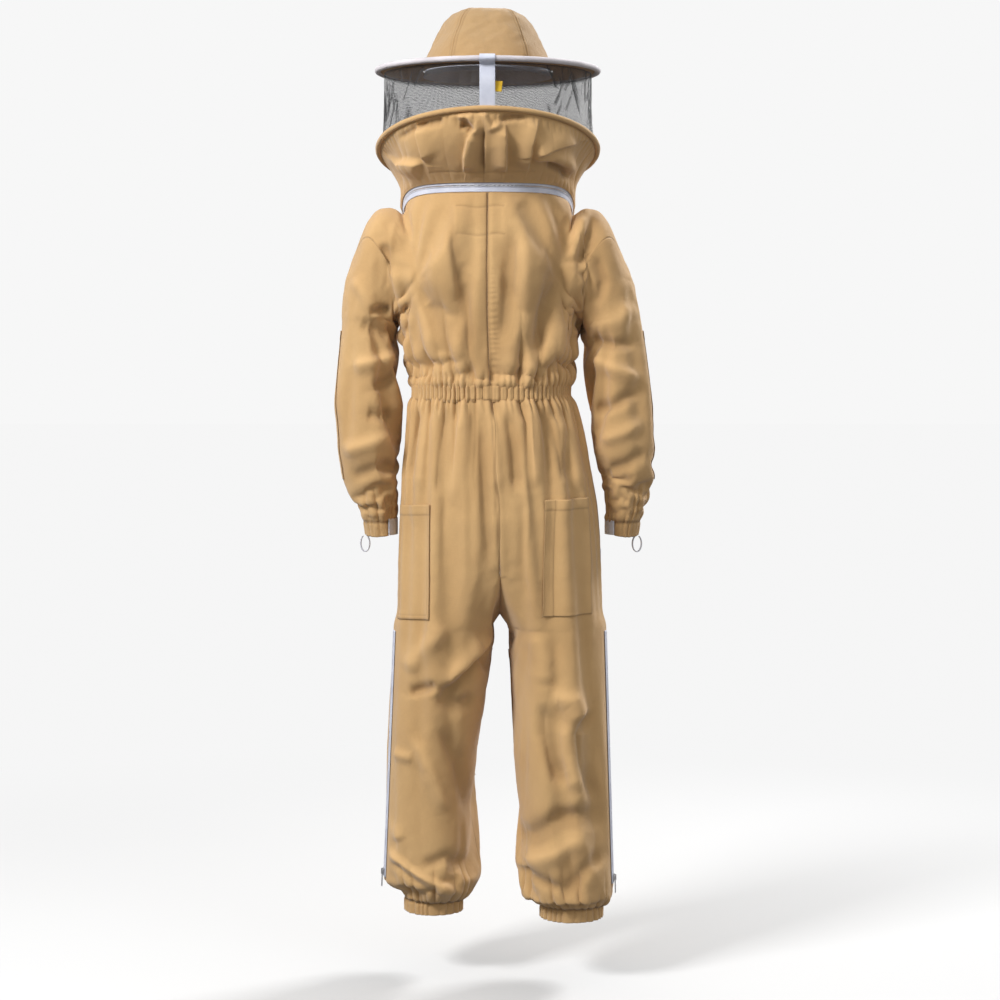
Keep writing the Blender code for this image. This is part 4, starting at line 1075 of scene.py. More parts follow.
# (height, width left, width right, points (x, height) down the back), in metres
BACK_FOLDS = [
    (-0.0045, 0.010, 0.014, [(0.072, 1.499), (0.059, 1.414), (0.046, 1.346), (0.036, 1.280), (0.029, 1.215)]),
    (-0.0035, 0.014, 0.018, [(0.139, 1.397), (0.105, 1.312), (0.080, 1.219)]),
    (0.0045, 0.016, 0.012, [(0.155, 1.415), (0.130, 1.330), (0.104, 1.240), (0.096, 1.205)]),
    (-0.0055, 0.012, 0.018, [(-0.047, 1.480), (-0.043, 1.405), (-0.035, 1.330), (-0.026, 1.240)]),
    (0.0045, 0.016, 0.016, [(-0.064, 1.465), (-0.072, 1.390), (-0.064, 1.290), (-0.051, 1.220)]),
    (-0.0045, 0.014, 0.016, [(-0.136, 1.420), (-0.115, 1.346), (-0.098, 1.287), (-0.085, 1.215)]),
    (0.0050, 0.016, 0.014, [(-0.162, 1.397), (-0.153, 1.320), (-0.136, 1.244), (-0.115, 1.195)]),
    (-0.0065, 0.007, 0.018, [(-0.206, 1.512), (-0.186, 1.440), (-0.172, 1.395)]),
    (0.0050, 0.014, 0.010, [(-0.190, 1.500), (-0.168, 1.440), (-0.158, 1.400)]),
    (-0.0050, 0.007, 0.009, [(-0.176, 1.392), (-0.200, 1.364), (-0.180, 1.340)]),
    (-0.0060, 0.010, 0.016, [(0.202, 1.450), (0.198, 1.384), (0.187, 1.315)]),
    (0.0050, 0.014, 0.012, [(0.186, 1.400), (0.165, 1.330), (0.150, 1.270)]),
    # below the waist
    (-0.0045, 0.010, 0.012, [(0.127, 1.134), (0.150, 1.050), (0.158, 0.985)]),
    (0.0040, 0.012, 0.012, [(0.105, 1.134), (0.122, 1.040), (0.130, 0.960)]),
    (-0.0045, 0.009, 0.012, [(0.078, 1.134), (0.092, 1.040), (0.099, 0.950)]),
    (0.0045, 0.012, 0.010, [(0.048, 1.132), (0.060, 1.040), (0.066, 0.930)]),
    (-0.0050, 0.008, 0.012, [(0.012, 1.130), (0.010, 1.040), (0.004, 0.900), (-0.004, 0.800)]),
    (0.0045, 0.012, 0.012, [(-0.012, 1.128), (-0.016, 1.040), (-0.020, 0.960)]),
    (-0.0060, 0.007, 0.014, [(-0.036, 1.128), (-0.046, 1.050), (-0.052, 0.960)]),
    (0.0045, 0.012, 0.010, [(-0.068, 1.132), (-0.086, 1.040), (-0.094, 0.970)]),
    (-0.0045, 0.010, 0.014, [(-0.106, 1.134), (-0.140, 1.037), (-0.150, 0.980)]),
    (0.0040, 0.014, 0.012, [(-0.135, 1.120), (-0.165, 1.020), (-0.180, 0.960)]),
    # left leg
    (0.0085, 0.020, 0.008, [(-0.010, 0.688), (0.040, 0.632), (0.092, 0.580)]),
    (-0.0060, 0.009, 0.016, [(0.010, 0.650), (0.052, 0.604), (0.100, 0.574)]),
    (0.0050, 0.020, 0.016, [(0.073, 0.715), (0.120, 0.664), (0.162, 0.612)]),
    (-0.0060, 0.008, 0.012, [(0.155, 0.571), (0.126, 0.582), (0.096, 0.592)]),
    (-0.0050, 0.018, 0.016, [(0.100, 0.572), (0.062, 0.552), (0.020, 0.560)]),
    (0.0035, 0.012, 0.012, [(0.200, 0.452), (0.142, 0.446)]),
    (-0.0045, 0.012, 0.018, [(0.096, 0.516), (0.060, 0.438), (0.034, 0.305)]),
    (0.0050, 0.016, 0.012, [(0.150, 0.500), (0.110, 0.420), (0.080, 0.330)]),
    (0.0080, 0.018, 0.007, [(0.205, 0.260), (0.150, 0.222), (0.095, 0.194), (0.045, 0.172)]),
    (-0.0060, 0.008, 0.014, [(0.195, 0.238), (0.140, 0.202), (0.090, 0.178)]),
    (-0.0045, 0.010, 0.014, [(0.134, 0.228), (0.080, 0.249), (0.044, 0.222)]),
    (0.0040, 0.014, 0.012, [(0.206, 0.328), (0.168, 0.276)]),
    # right leg
    (0.0060, 0.022, 0.018, [(-0.115, 0.572), (-0.165, 0.563), (-0.186, 0.520)]),
    (-0.0065, 0.014, 0.020, [(-0.106, 0.566), (-0.108, 0.498), (-0.136, 0.420), (-0.160, 0.398)]),
    (-0.0050, 0.010, 0.012, [(-0.204, 0.552), (-0.174, 0.498), (-0.182, 0.438), (-0.212, 0.356)]),
    (0.0055, 0.016, 0.014, [(-0.150, 0.530), (-0.150, 0.460), (-0.175, 0.380)]),
    (-0.0080, 0.018, 0.024, [(-0.218, 0.342), (-0.140, 0.337), (-0.084, 0.300), (-0.058, 0.274)]),
    (0.0060, 0.020, 0.018, [(-0.062, 0.240), (-0.130, 0.266), (-0.192, 0.302)]),
    (-0.0050, 0.010, 0.014, [(-0.056, 0.232), (-0.112, 0.207), (-0.150, 0.196)]),
    (-0.0045, 0.014, 0.016, [(-0.140, 0.176), (-0.180, 0.228), (-0.232, 0.272)]),
    (0.0035, 0.020, 0.018, [(-0.090, 0.700), (-0.110, 0.640), (-0.112, 0.590)]),
]
SLEEVE_FOLDS = [
    (-0.0065, 0.007, 0.010, [(0.230, 1.308), (0.208, 1.313), (0.184, 1.312)]),
    (0.0060, 0.016, 0.012, [(0.262, 1.206), (0.215, 1.216), (0.176, 1.228)]),
    (-0.0060, 0.009, 0.014, [(0.222, 1.160), (0.190, 1.178), (0.162, 1.200)]),
    (-0.0050, 0.010, 0.014, [(0.236, 1.112), (0.186, 1.108)]),
    (-0.0045, 0.014, 0.014, [(0.248, 1.290), (0.186, 1.264)]),
    (0.0050, 0.016, 0.014, [(0.285, 1.040), (0.230, 1.056), (0.184, 1.075)]),
    (-0.0045, 0.012, 0.014, [(0.270, 0.985), (0.225, 1.004), (0.180, 1.020)]),
    (0.0040, 0.014, 0.012, [(0.262, 1.380), (0.232, 1.340), (0.215, 1.290)]),
    (-0.0060, 0.010, 0.014, [(-0.192, 1.257), (-0.242, 1.245), (-0.285, 1.250)]),
    (0.0060, 0.016, 0.012, [(-0.188, 1.228), (-0.240, 1.204), (-0.300, 1.178)]),
    (0.0045, 0.018, 0.016, [(-0.187, 1.280), (-0.252, 1.294), (-0.282, 1.330)]),
    (-0.0055, 0.010, 0.014, [(-0.200, 1.116), (-0.252, 1.134), (-0.290, 1.160)]),
    (0.0045, 0.014, 0.014, [(-0.215, 1.060), (-0.262, 1.078), (-0.305, 1.100)]),
    (-0.0045, 0.012, 0.014, [(-0.220, 1.000), (-0.270, 1.016), (-0.312, 1.046)]),
    (-0.0040, 0.010, 0.010, [(-0.205, 1.420), (-0.222, 1.370), (-0.205, 1.320)]),
]


def zip_line(side):
    """The leg zip's straight line at rest: its top, its bottom and the way it faces, from its CAD node."""
    word = "left" if side > 0 else "right"
    co = np.array([v.co for v in frame["nodes"][f"leg_zip_{word}"].data.vertices])
    faces_out = np.array((side * math.sin(ZIP_ANGLE), -math.cos(ZIP_ANGLE), 0))
    ends = [co[np.abs(co[:, 2] - z) < 0.004].mean(0) for z in (co[:, 2].max(), co[:, 2].min())]
    return ends[0], ends[1], faces_out


def relief(co, normals, kind_of):
    """How far each fine point moves along its normal, and how much it is seam and fold."""
    x, y, h = co[:, 0], co[:, 1], co[:, 2] + SHOULDER_HEIGHT
    out, seam = np.zeros(len(co)), np.zeros(len(co))
    is_leg = (kind_of == 3) | (kind_of == 4)
    is_sleeve = kind_of == 5
    is_body = ~(is_leg | is_sleeve)
    rear = smooth((normals[:, 1] + 0.15) / 0.45)
    left = x > np.where(is_leg, BODY[0, 1], 0)
    out += 0.0009 * fractal(co, 0.11, 11) + 0.0005 * fractal(co, 0.034, 12)

    centre_x, half_width, y_back = table(BODY, h)
    depth = (y_back - front_y(h)) / 2
    angle = np.arctan2((x - centre_x) / half_width, -(y - (y_back + front_y(h)) / 2) / depth)
    gap = np.abs(h - WAIST)
    at_back = smooth((np.abs(angle) - math.radians(78)) / math.radians(20))
    out += np.where(is_body, at_back * (
        0.0046 * ripple(angle, 76, 21) * smooth((0.055 - gap) / 0.035)
        + 0.0066 * ripple(angle, 30, 22) * smooth(gap / 0.025) * smooth((0.125 - gap) / 0.10)
        + 0.0056 * ripple(angle, 16, 23, 0.8) * smooth(gap / 0.05) * smooth((0.24 - gap) / 0.18)), 0)
    for side in (1, -1):
        mine = is_leg & (left if side > 0 else ~left)
        leg_x, leg_y, half_width, half_depth = table(LEGS[side], h)
        round_leg = np.arctan2((x - leg_x) / half_width, -(y - leg_y) / half_depth)
        up = h - ANKLE_TOP
        out += np.where(mine, 0.0028 * ripple(round_leg, 26, 31 + side) * smooth((0.045 - up) / 0.045)
                        + 0.0048 * ripple(round_leg, 14, 34 + side) * smooth((up + 0.006) / 0.025)
                        * smooth((0.105 - up) / 0.08)
                        - 0.0030 * bell(up, 0.004), 0)
        seam[mine] = np.maximum(seam[mine], bell(up[mine], 0.003))
        mine = is_sleeve & (x * side > 0)
        rows = SLEEVES[side]
        sleeve_x, sleeve_y = (np.interp(h, rows[::-1, 2], rows[::-1, k]) for k in (0, 1))
        round_arm = np.arctan2(x - sleeve_x, -(y - sleeve_y))
        up = h - 0.900
        out += np.where(mine, 0.0020 * ripple(round_arm, 18, 41 + side) * smooth((0.035 - up) / 0.035)
                        + 0.0038 * ripple(round_arm, 10, 44 + side) * smooth((up + 0.004) / 0.02)
                        * smooth((0.085 - up) / 0.06)
                        - 0.0016 * bell(up - 0.001, 0.0035), 0)
        seam[mine] = np.maximum(seam[mine], bell(up[mine] - 0.001, 0.003))
    out += FOLD_GAIN * rear * np.where(is_sleeve, folds(x, h, SLEEVE_FOLDS), folds(x, h, BACK_FOLDS))

    # the centre seam of the back, puckered on the right, and the stitching of the yoke's patch
    across = x - np.interp(h, [0.80, 1.156, 1.312, 1.55], [BODY[0, 1], table(BODY, WAIST)[0], 0.0, 0.0])
    centre = is_body & (rear > 0.3)
    pucker = (bell(across + 0.010, 0.008) * np.sin(h * 2 * math.pi / 0.0105 + 2 * np.sin(h * 60))
              * smooth((1.45 - h) / 0.12))
    out += np.where(centre, -0.0022 * bell(across, 0.0026) + 0.0010 * bell(across + 0.009, 0.005)
                    + 0.0005 * pucker * smooth((h - 1.17) / 0.02), 0)
    seam[centre] = np.maximum(seam[centre], bell(across[centre], 0.0022))
    for height in (1.509, 1.456):
        line = centre & (x > -0.033) & (x < 0.061)
        off = h - height + 0.002 * np.sin(x * 90)
        out += np.where(line, -0.0008 * bell(off, 0.003), 0)
        seam[line] = np.maximum(seam[line], 0.45 * bell(off[line], 0.0018))
    out += np.where(is_body & (h > 1.17), 0.0009 * rear * bell(np.abs(x - 0.014) - 0.046, 0.004)
                    * smooth((h - 1.45) / 0.01) * smooth((1.515 - h) / 0.01), 0)
    return out, seam


def by_zip(co, kind_of):
    """Draws the leg's cloth in beside its zip, and the armholes' and panels' edges stay where they are."""
    moved = co.copy()
    for side in (1, -1):
        top, bottom, faces_out = zip_line(side)
        along = (top - bottom) / (top[2] - bottom[2])
        line = bottom + along * (co[:, 2:3] - bottom[2])
        across = np.cross(along, faces_out)
        across /= np.linalg.norm(across)
        rel = co - line
        a, n = rel @ across, rel @ faces_out
        rows = smooth((co[:, 2] - bottom[2] + 0.035) / 0.03) * smooth((top[2] + 0.045 - co[:, 2]) / 0.04)
        pull = (1 - smooth((np.abs(a) - 0.013) / 0.036)) * rows * (np.abs(n) < 0.05) * (kind_of != 5)
        # the tape's middle is 3 mm outside the cloth's nominal surface
        moved += (pull * (-0.0016 - n))[:, None] * faces_out
    return moved


fine, fine_normals, fine_faces, fine_owner, fine_uv = subdivided()
kind_of = np.zeros(len(fine), np.int8)
for code in np.unique(fine_owner):
    who = np.unique(fine_faces[fine_owner == code])
    kind_of[who] = code % 8
lift, seam_mark = relief(fine, fine_normals, kind_of)
fine = fine + fine_normals * lift[:, None]
fine = by_zip(fine, kind_of)
# painted shade in the folds' valleys and a painted highlight on their crests, both from how deep the relief
# goes
fold_valley_shade = np.clip(-lift / 0.0065, 0, 1)
fold_crest_highlight = np.clip((lift - 0.002) / 0.006, 0, 1)


def cut_size(panel):
    """The width, length and area that a panel is cut to: the net before it hangs, with the ease in it."""
    area, width, length = 0.0, 0.0, 0.0
    for patch, index in net.patches.items():
        columns = [j for j in range(index.shape[1] - 1) if panel_of(patch, j) == panel]
        if not columns:
            continue
        p = points[index[:, columns[0]:columns[-1] + 2]]
        a, b = p[1:, :-1] - p[:-1, :-1], p[:-1, 1:] - p[:-1, :-1]
        area += np.linalg.norm(np.cross(a, b), axis=2).sum()
        down = np.linalg.norm(np.diff(p, axis=0), axis=2).sum(0).max()
        across = np.linalg.norm(np.diff(p, axis=1), axis=2).sum(1).max()
        if patch.startswith(("outer", "inner")):
            width = max(width, across) if patch.startswith("outer") else width + across
            length += down if patch.startswith("outer") else 0
        else:
            width, length = max(width, across), length + down
    ease = 1.08
    return round(width * ease, 3), round(length * ease, 3), round(area * ease * ease, 4)


def panel_pieces():
    for number, panel in enumerate(PANELS):
        mine = fine_owner // 8 == number
        quads = fine_faces[mine]
        used, local = np.unique(quads, return_inverse=True)
        made = new_object("cloth_" + panel, fine[used], local.ravel(), np.arange(len(quads)) * 4,
                          fine_uv[mine].reshape(-1, 2))
        rim = np.zeros(len(used))
        edges = np.sort(np.concatenate([local.reshape(-1, 4)[:, [k, (k + 1) % 4]] for k in range(4)]), axis=1)
        keys, counts = np.unique(edges[:, 0].astype(np.int64) * len(used) + edges[:, 1], return_counts=True)
        border = keys[counts == 1]
        rim[np.unique(np.concatenate([border // len(used), border % len(used)]).astype(int))] = 1
        # the seam mark gets the seams, the panel's rim and the painted fold shade; the worn mark gets the
        # painted highlight on fold crests
        paint(made, "seam", np.maximum(np.maximum(seam_mark[used], 0.42 * fold_valley_shade[used]), 0.40 * rim))
        paint(made, "worn", fold_crest_highlight[used])
        width, length, area = cut_size(panel)
        area = min(area, width * length)
        if panel.startswith("sleeve"):
            dress(made, KHAKI, nodes=[panel])
            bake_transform(made)
        else:
            dress(made, KHAKI, "suit", [panel])
        thickness(made, CLOTH_THICKNESS)


panel_pieces()


# ------------------------------------------------------- elastic at the waist, ankles and wrists
def wraps(name, centre, out, half, back, front, ribs=9, closed=True):
    """An elastic band: a ribbed flat section carried round a ring."""
    return sweep(name, centre, out, tape_profile(-half, half, back, front, ribs, 0.00025, 40), closed)


def waist():
    count = 900
    angle = np.radians(np.linspace(96, 264, count))
    ring = body_point(np.full(count, WAIST), angle)
    away = ring_out(angle)
    gather = ripple(angle, 92, 51)
    fine_gather = ripple(angle, 150, 52, 0.8)
    z = np.linspace(-1, 1, 27)
    half = 0.0185
    edge = np.abs(z) ** 6
    channel = bell(np.abs(z) - 0.80, 0.09)
    amount = (0.0034 * (0.65 + 0.6 * np.abs(z)[:, None]) * gather[None] + 0.0007 * fine_gather[None])
    lift = 0.0052 * (1 - 0.75 * edge)[:, None] + amount - 0.0013 * channel[:, None]
    lift *= smooth((0.5 - np.abs(np.linspace(-0.5, 0.5, count))) / 0.012)[None] * 0.85 + 0.15
    heights = (half * z[:, None] + 0.0011 * np.sin(np.linspace(0, 30, count))[None]
               + 0.0016 * edge[:, None] * gather[None])
    grid = ring[None] + away[None] * lift[..., None]
    grid[..., 2] += heights
    # the seam mark holds the channel's stitching and painted shade in the gathers' valleys; the worn mark is a
    # painted highlight on the gathers' crests
    marks = {"seam": np.clip(0.45 * channel[:, None] + np.clip(-1.3 * gather, 0, 1)[None] * 0.95, 0, 1),
             "worn": np.clip(gather, 0, 1)[None] * np.ones((27, 1)) * 0.5}
    casing = thickness(grid_object("waist_casing_cloth", grid, marks=marks), 0.0009)
    dress(casing, KHAKI, "suit", ["waist_casing"])
    step = angle[::6]
    centre = body_point(np.full(len(step), WAIST), step) + ring_out(step) * 0.0005
    band = wraps("waist_elastic_band", centre, ring_out(step), 0.0115, 0, 0.0013, closed=False)
    dress(band, ELASTIC, "suit", ["waist_elastic"])


def cuffs():
    for side, word in SIDES:
        angle = np.linspace(0, 2 * math.pi, 160, endpoint=False)
        away = ring_out(side * angle)
        centre = leg_point(side, np.full(160, 0.1375), angle, -0.0040)
        band = wraps(f"ankle_elastic_band_{word}", centre, away, 0.0095, -0.0013, 0)
        dress(band, ELASTIC, "suit", [f"ankle_elastic_{word}"])
        rows = SLEEVES[side]
        (x, y, h, w, d), (x1, y1, h1) = rows[-2], rows[-1][:3]
        t = 0.62
        centre = place(x + (x1 - x) * t + side * (w - 0.0035) * np.sin(angle),
                       y + (y1 - y) * t - (d - 0.0035) * np.cos(angle), h + (h1 - h) * t + 0 * angle)
        band = wraps(f"wrist_elastic_band_{word}", centre, away, 0.0075, -0.0013, 0)
        dress(band, ELASTIC, f"arm_{word}", [f"wrist_elastic_{word}"])
        low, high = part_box(f"wrist_strap_{word}")
        angle = np.radians(np.linspace(213, 337, 70))
        away = ring_out(side * angle)
        height = (low.z + high.z) / 2 + SHOULDER_HEIGHT
        t = (h - height) / (h - h1)
        centre = place(x + (x1 - x) * t + side * (w + 0.0024) * np.sin(angle),
                       y + (y1 - y) * t - (d + 0.0024) * np.cos(angle), height)
        strap = wraps(f"wrist_strap_band_{word}", centre, away, (high.z - low.z) / 2, 0, 0.0016, 12, False)
        dress(strap, ELASTIC, f"arm_{word}", [f"wrist_strap_{word}"])
        # the thumb loop, a flat elastic doubled back on itself
        low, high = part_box(f"thumb_loop_{word}")
        joint = next(j for j in frame["joints"] if j["name"] == f"thumb_loop_swing_{word}")
        axis = np.array(joint.get("axis", (side * 0.33, 0.944, 0)), float)
        axis /= np.linalg.norm(axis)
        middle = (np.array(low) + np.array(high)) / 2
        turn = np.radians(np.linspace(28, 332, 70))
        flat_way = np.cross(axis, (0, 0, 1.0))
        up = np.array((0, 0, 1.0))
        top = middle + up * ((high.z - low.z) / 2)
        path = (top + np.outer(0.0095 * np.sin(turn), flat_way)
                + np.outer(0.0160 * np.cos(turn) - 0.0145, up))
        facing = np.outer(np.sin(turn), flat_way) + np.outer(np.cos(turn), up)
        loop = sweep(f"thumb_loop_band_{word}", path, facing,
                     tape_profile(-0.00225, 0.00225, -0.0010, 0.0010, 4, 0.00015))
        dress(loop, ELASTIC, f"loop_{word}", [f"thumb_loop_{word}"])


# ---------------------------------------------------------------- pockets and patches, laid on the hung cloth
def tree_of(*panels):
    numbers = [PANELS.index(p) for p in panels]
    mine = np.isin(fine_owner // 8, numbers)
    used, local = np.unique(fine_faces[mine], return_inverse=True)
    return BVHTree.FromPolygons([Vector(p) for p in fine[used]], local.reshape(-1, 4).tolist())


def blurred(values, times):
    for _ in range(times):
        for axis in (0, 1):
            padded = np.pad(values, [(1, 1) if k == axis else (0, 0) for k in (0, 1)], "edge")
            take = [slice(None), slice(None)]
            parts = []
            for start in (0, 1, 2):
                take[axis] = slice(start, start + values.shape[axis])
                parts.append(padded[tuple(take)])
            values = (parts[0] + 2 * parts[1] + parts[2]) / 4
    return values


def laid_patch(name, panels, axis, low, high, start, end, columns=60, rows=80, gape=0.0, channel=None,
               lift=0.0017, skew=0.0):
    """A patch on the cloth between two heights, and two angles in degrees from the back. axis(height) gives
    the centre that the angles turn about. gape opens its top edge."""
    tree = tree_of(*panels)
    v = np.linspace(0, 1, rows)[:, None] * np.ones((1, columns))
    u = np.ones((rows, 1)) * np.linspace(0, 1, columns)[None]
    heights = low + (high - low) * v - skew * (u - 0.5)
    polar = np.radians(start + (end - start) * u)
    radius = np.zeros((rows, columns))
    centres = np.zeros((rows, columns, 2))
    for i in range(rows):
        for j in range(columns):
            cx, cy = axis(heights[i, j])
            way = Vector((math.sin(polar[i, j]), math.cos(polar[i, j]), 0))
            origin = Vector((cx, cy, heights[i, j] - SHOULDER_HEIGHT))
            hit = tree.ray_cast(origin + way * 0.45, -way)
            radius[i, j] = 0.45 - hit[3] if hit[0] is not None else np.nan
            centres[i, j] = cx, cy
    fill = np.nanmedian(radius)
    radius = np.where(np.isnan(radius), fill, radius)
    soft = np.maximum(blurred(radius, 6), radius)
    soft = blurred(soft, 2)
    soft = np.maximum(soft, radius)
    rim = np.minimum(np.minimum(u, 1 - u) * (end - start) * math.pi / 180 * fill, v * (high - low))
    rim = np.minimum(rim, (1 - v) * (high - low) + 0.004)
    hem = (1 - v) * (high - low)
    relief_map = (lift + 0.0007 * bell(rim, 0.004) - 0.0007 * bell(np.abs(rim - 0.0032), 0.0011)
                  - 0.0006 * bell(np.abs(rim - 0.0085), 0.0010) * (rim < 0.02)
                  + 0.0006 * (hem < 0.020) - 0.0007 * bell(hem - 0.020, 0.0011))
    across = (u if channel is None else u - channel) * abs(end - start) * math.pi / 180 * fill
    stitched = np.zeros_like(u)
    if channel is not None:
        stitched = bell(across, 0.0013)
        relief_map -= 0.0010 * stitched
    opening = gape * smooth(1 - hem / 0.05) * np.sin(math.pi * u) ** 0.7
    total = soft + relief_map + opening
    grid = np.stack([centres[..., 0] + np.sin(polar) * total, centres[..., 1] + np.cos(polar) * total,
                     heights - SHOULDER_HEIGHT], -1)
    seam = np.clip(0.62 * bell(rim, 0.0016) + 0.45 * bell(rim - 0.0032, 0.0011)
                   + 0.30 * bell(rim - 0.0085, 0.001)
                   + 0.5 * bell(hem - 0.020, 0.0013) + 0.6 * stitched, 0, 1)
    made = grid_object(name, grid, marks={"seam": seam, "worn": 0.5 * bell(rim - 0.001, 0.0012)})
    return thickness(made, CLOTH_THICKNESS, 0.0)


def measured(piece):
    """Reads the cut places of a flat-cut piece's UV map; nothing uses them."""
    uv = np.zeros(len(piece.data.loops) * 2)
    piece.data.uv_layers["cut"].data.foreach_get("uv", uv)
    uv = uv.reshape(-1, 2)


def pockets_and_patches():
    body_axis = lambda h: (BODY[0, 1], 0.0)
    trousers = ("trouser_back_left", "trouser_back_right", "trouser_front_left", "trouser_front_right")
    for word, low, high, start, end, channel, skew in (("left", 0.718, 0.940, 51, 82, None, 0.006),
                                                        ("right", 0.728, 0.953, -35, -68, 0.24, -0.002)):
        made = laid_patch(f"rear_pocket_cloth_{word}", trousers, body_axis, low, high, start, end,
                          gape=0.0055, channel=channel, skew=skew)
        dress(made, KHAKI, "suit", [f"rear_pocket_{word}"])
        measured(made)
    made = laid_patch("chest_pocket_cloth", ("front_panel_left",), lambda h: (0.0, 0.0), 1.215, 1.335,
                      156.5, 123, gape=0.0055)
    dress(made, KHAKI, "suit", ["chest_pocket"])
    measured(made)
    for side, word in SIDES:
        leg_axis = lambda h, side=side: tuple(float(v) for v in table(LEGS[side], h)[:2])
        made = laid_patch(f"knee_patch_cloth_{word}", (f"trouser_front_{word}", f"trouser_back_{word}"),
                          leg_axis, 0.385, 0.645, 180 - 68, 180 + 68, columns=90, lift=0.0010)
        dress(made, KHAKI, "suit", [f"knee_patch_{word}"])
        measured(made)
        rows = SLEEVES[side][::-1]
        arm_axis = lambda h, rows=rows: (float(np.interp(h, rows[:, 2], rows[:, 0])),
                                         float(np.interp(h, rows[:, 2], rows[:, 1])))
        start, end = (180 - 18, 180 - 112) if side > 0 else (180 + 18, 180 + 112)
        made = laid_patch(f"elbow_patch_cloth_{word}", (f"sleeve_{word}",), arm_axis, 0.985, 1.275,
                          start, end, columns=50, rows=90, lift=0.0008)
        dress(made, KHAKI, f"arm_{word}", [f"elbow_patch_{word}"])
        measured(made)


# ---------------------------------------------------------------- zips
def tape_and_teeth(name, centre, out, low, high, back, front, *rows):
    """A zip tape along a path, with a row of coil teeth at each of rows across it."""
    tape = sweep(name, centre, out, tape_profile(low, high, back, front, 7, 0.00010))
    tape.data.materials.append(TAPE)
    run = run_along(centre)
    at = np.arange(TEETH_PITCH, run[-1] - TEETH_PITCH, TEETH_PITCH)
    spots = np.stack([np.interp(at, run, centre[:, k]) for k in range(3)], 1)
    along = unit(np.gradient(spots, axis=0))
    facing = np.broadcast_to(out, centre.shape)
    facing = np.stack([np.interp(at, run, facing[:, k]) for k in range(3)], 1)
    facing = unit(facing - along * (facing * along).sum(1, keepdims=True))
    across = np.cross(along, facing)
    parts = []
    for k, row in enumerate(rows):
        teeth = boxes(f"{name}_teeth_{k}", spots + across * row + facing * (front + 0.0001), along, across,
                      facing, (0.0024, 0.0010, 0.0012))
        teeth.data.materials.append(TEETH)
        parts.append(teeth)
    return joined(tape, *parts)


def zips():
    # the front
    ends = []
    for word in ("left", "right"):
        co = np.array([v.co for v in frame["nodes"][f"front_zip_tape_{word}"].data.vertices])
        ends.append([co[np.abs(co[:, 2] - z) < 0.003].mean(0) for z in (co[:, 2].max(), co[:, 2].min())])
    ends = np.array(ends)
    top, bottom = ends.mean(0)
    facing = np.cross(top - bottom, (1.0, 0, 0))
    facing = facing / np.linalg.norm(facing) * (1 if facing[1] < 0 else -1)
    run = (top - bottom) / np.linalg.norm(top - bottom)
    path = (top + run * 0.013) + (bottom - top - run * 0.021) * np.linspace(0, 1, 120)[:, None]
    for number, word in enumerate(("left", "right")):
        way = np.cross((path[1] - path[0]) / np.linalg.norm(path[1] - path[0]), facing)
        sign = 1 if np.dot(ends[number].mean(0) - path.mean(0), way) > 0 else -1
        low, high = sorted((sign * 0.0015, sign * 0.0125))
        made = tape_and_teeth(f"front_zip_cloth_{word}", path, facing, low, high, -0.0008, 0.0008,
                              sign * 0.0014)
        dress(made, None, "suit", [f"front_zip_tape_{word}"])
    # the legs
    for side, word in SIDES:
        top, bottom, facing = zip_line(side)
        path = top + (bottom - top) * np.linspace(0, 1, 120)[:, None]
        made = tape_and_teeth(f"leg_zip_cloth_{word}", path, facing, -0.0105, 0.0105, -0.0008, 0.0008,
                              -0.0009, 0.0009)
        dress(made, None, "suit", [f"leg_zip_{word}"])
    # the neck
    angle = np.radians(np.linspace(2.5, 357.5, 420))
    base, up = neck_point(angle), neck_up(angle)
    away = ring_out(angle)
    for name, body, node, low, high, teeth in (
            ("neck_zip_cloth_lower", "suit", "neck_zip_lower_tape", -0.0115, -0.0013, -0.0016),
            ("neck_zip_cloth_upper", "hood", "neck_zip_upper_tape", 0.0013, 0.0115, 0.0016)):
        along = np.gradient(base, axis=0)
        sign = 1 if np.dot(np.cross(along[200], away[200]), up[200]) > 0 else -1
        a, b = sorted((sign * low, sign * high))
        made = tape_and_teeth(name, base, away, a, b, -0.0008, 0.0008, sign * teeth)
        dress(made, None, body, [node])
    for node in ("front_zip_slider", "front_zip_pull",
                 *(f"{zip_name}_zip_{piece}_{word}" for zip_name in ("leg", "neck")
                   for piece in ("slider", "pull")
                   for word in ("left", "right"))):
        carried(node, ZIP_METAL)
    for node in ("brim_hoop", "collar_hoop"):
        carried(node, STEEL)


def carried(node, material):
    made = frame["nodes"][node]
    made.data.materials.clear()
    made.data.materials.append(material)


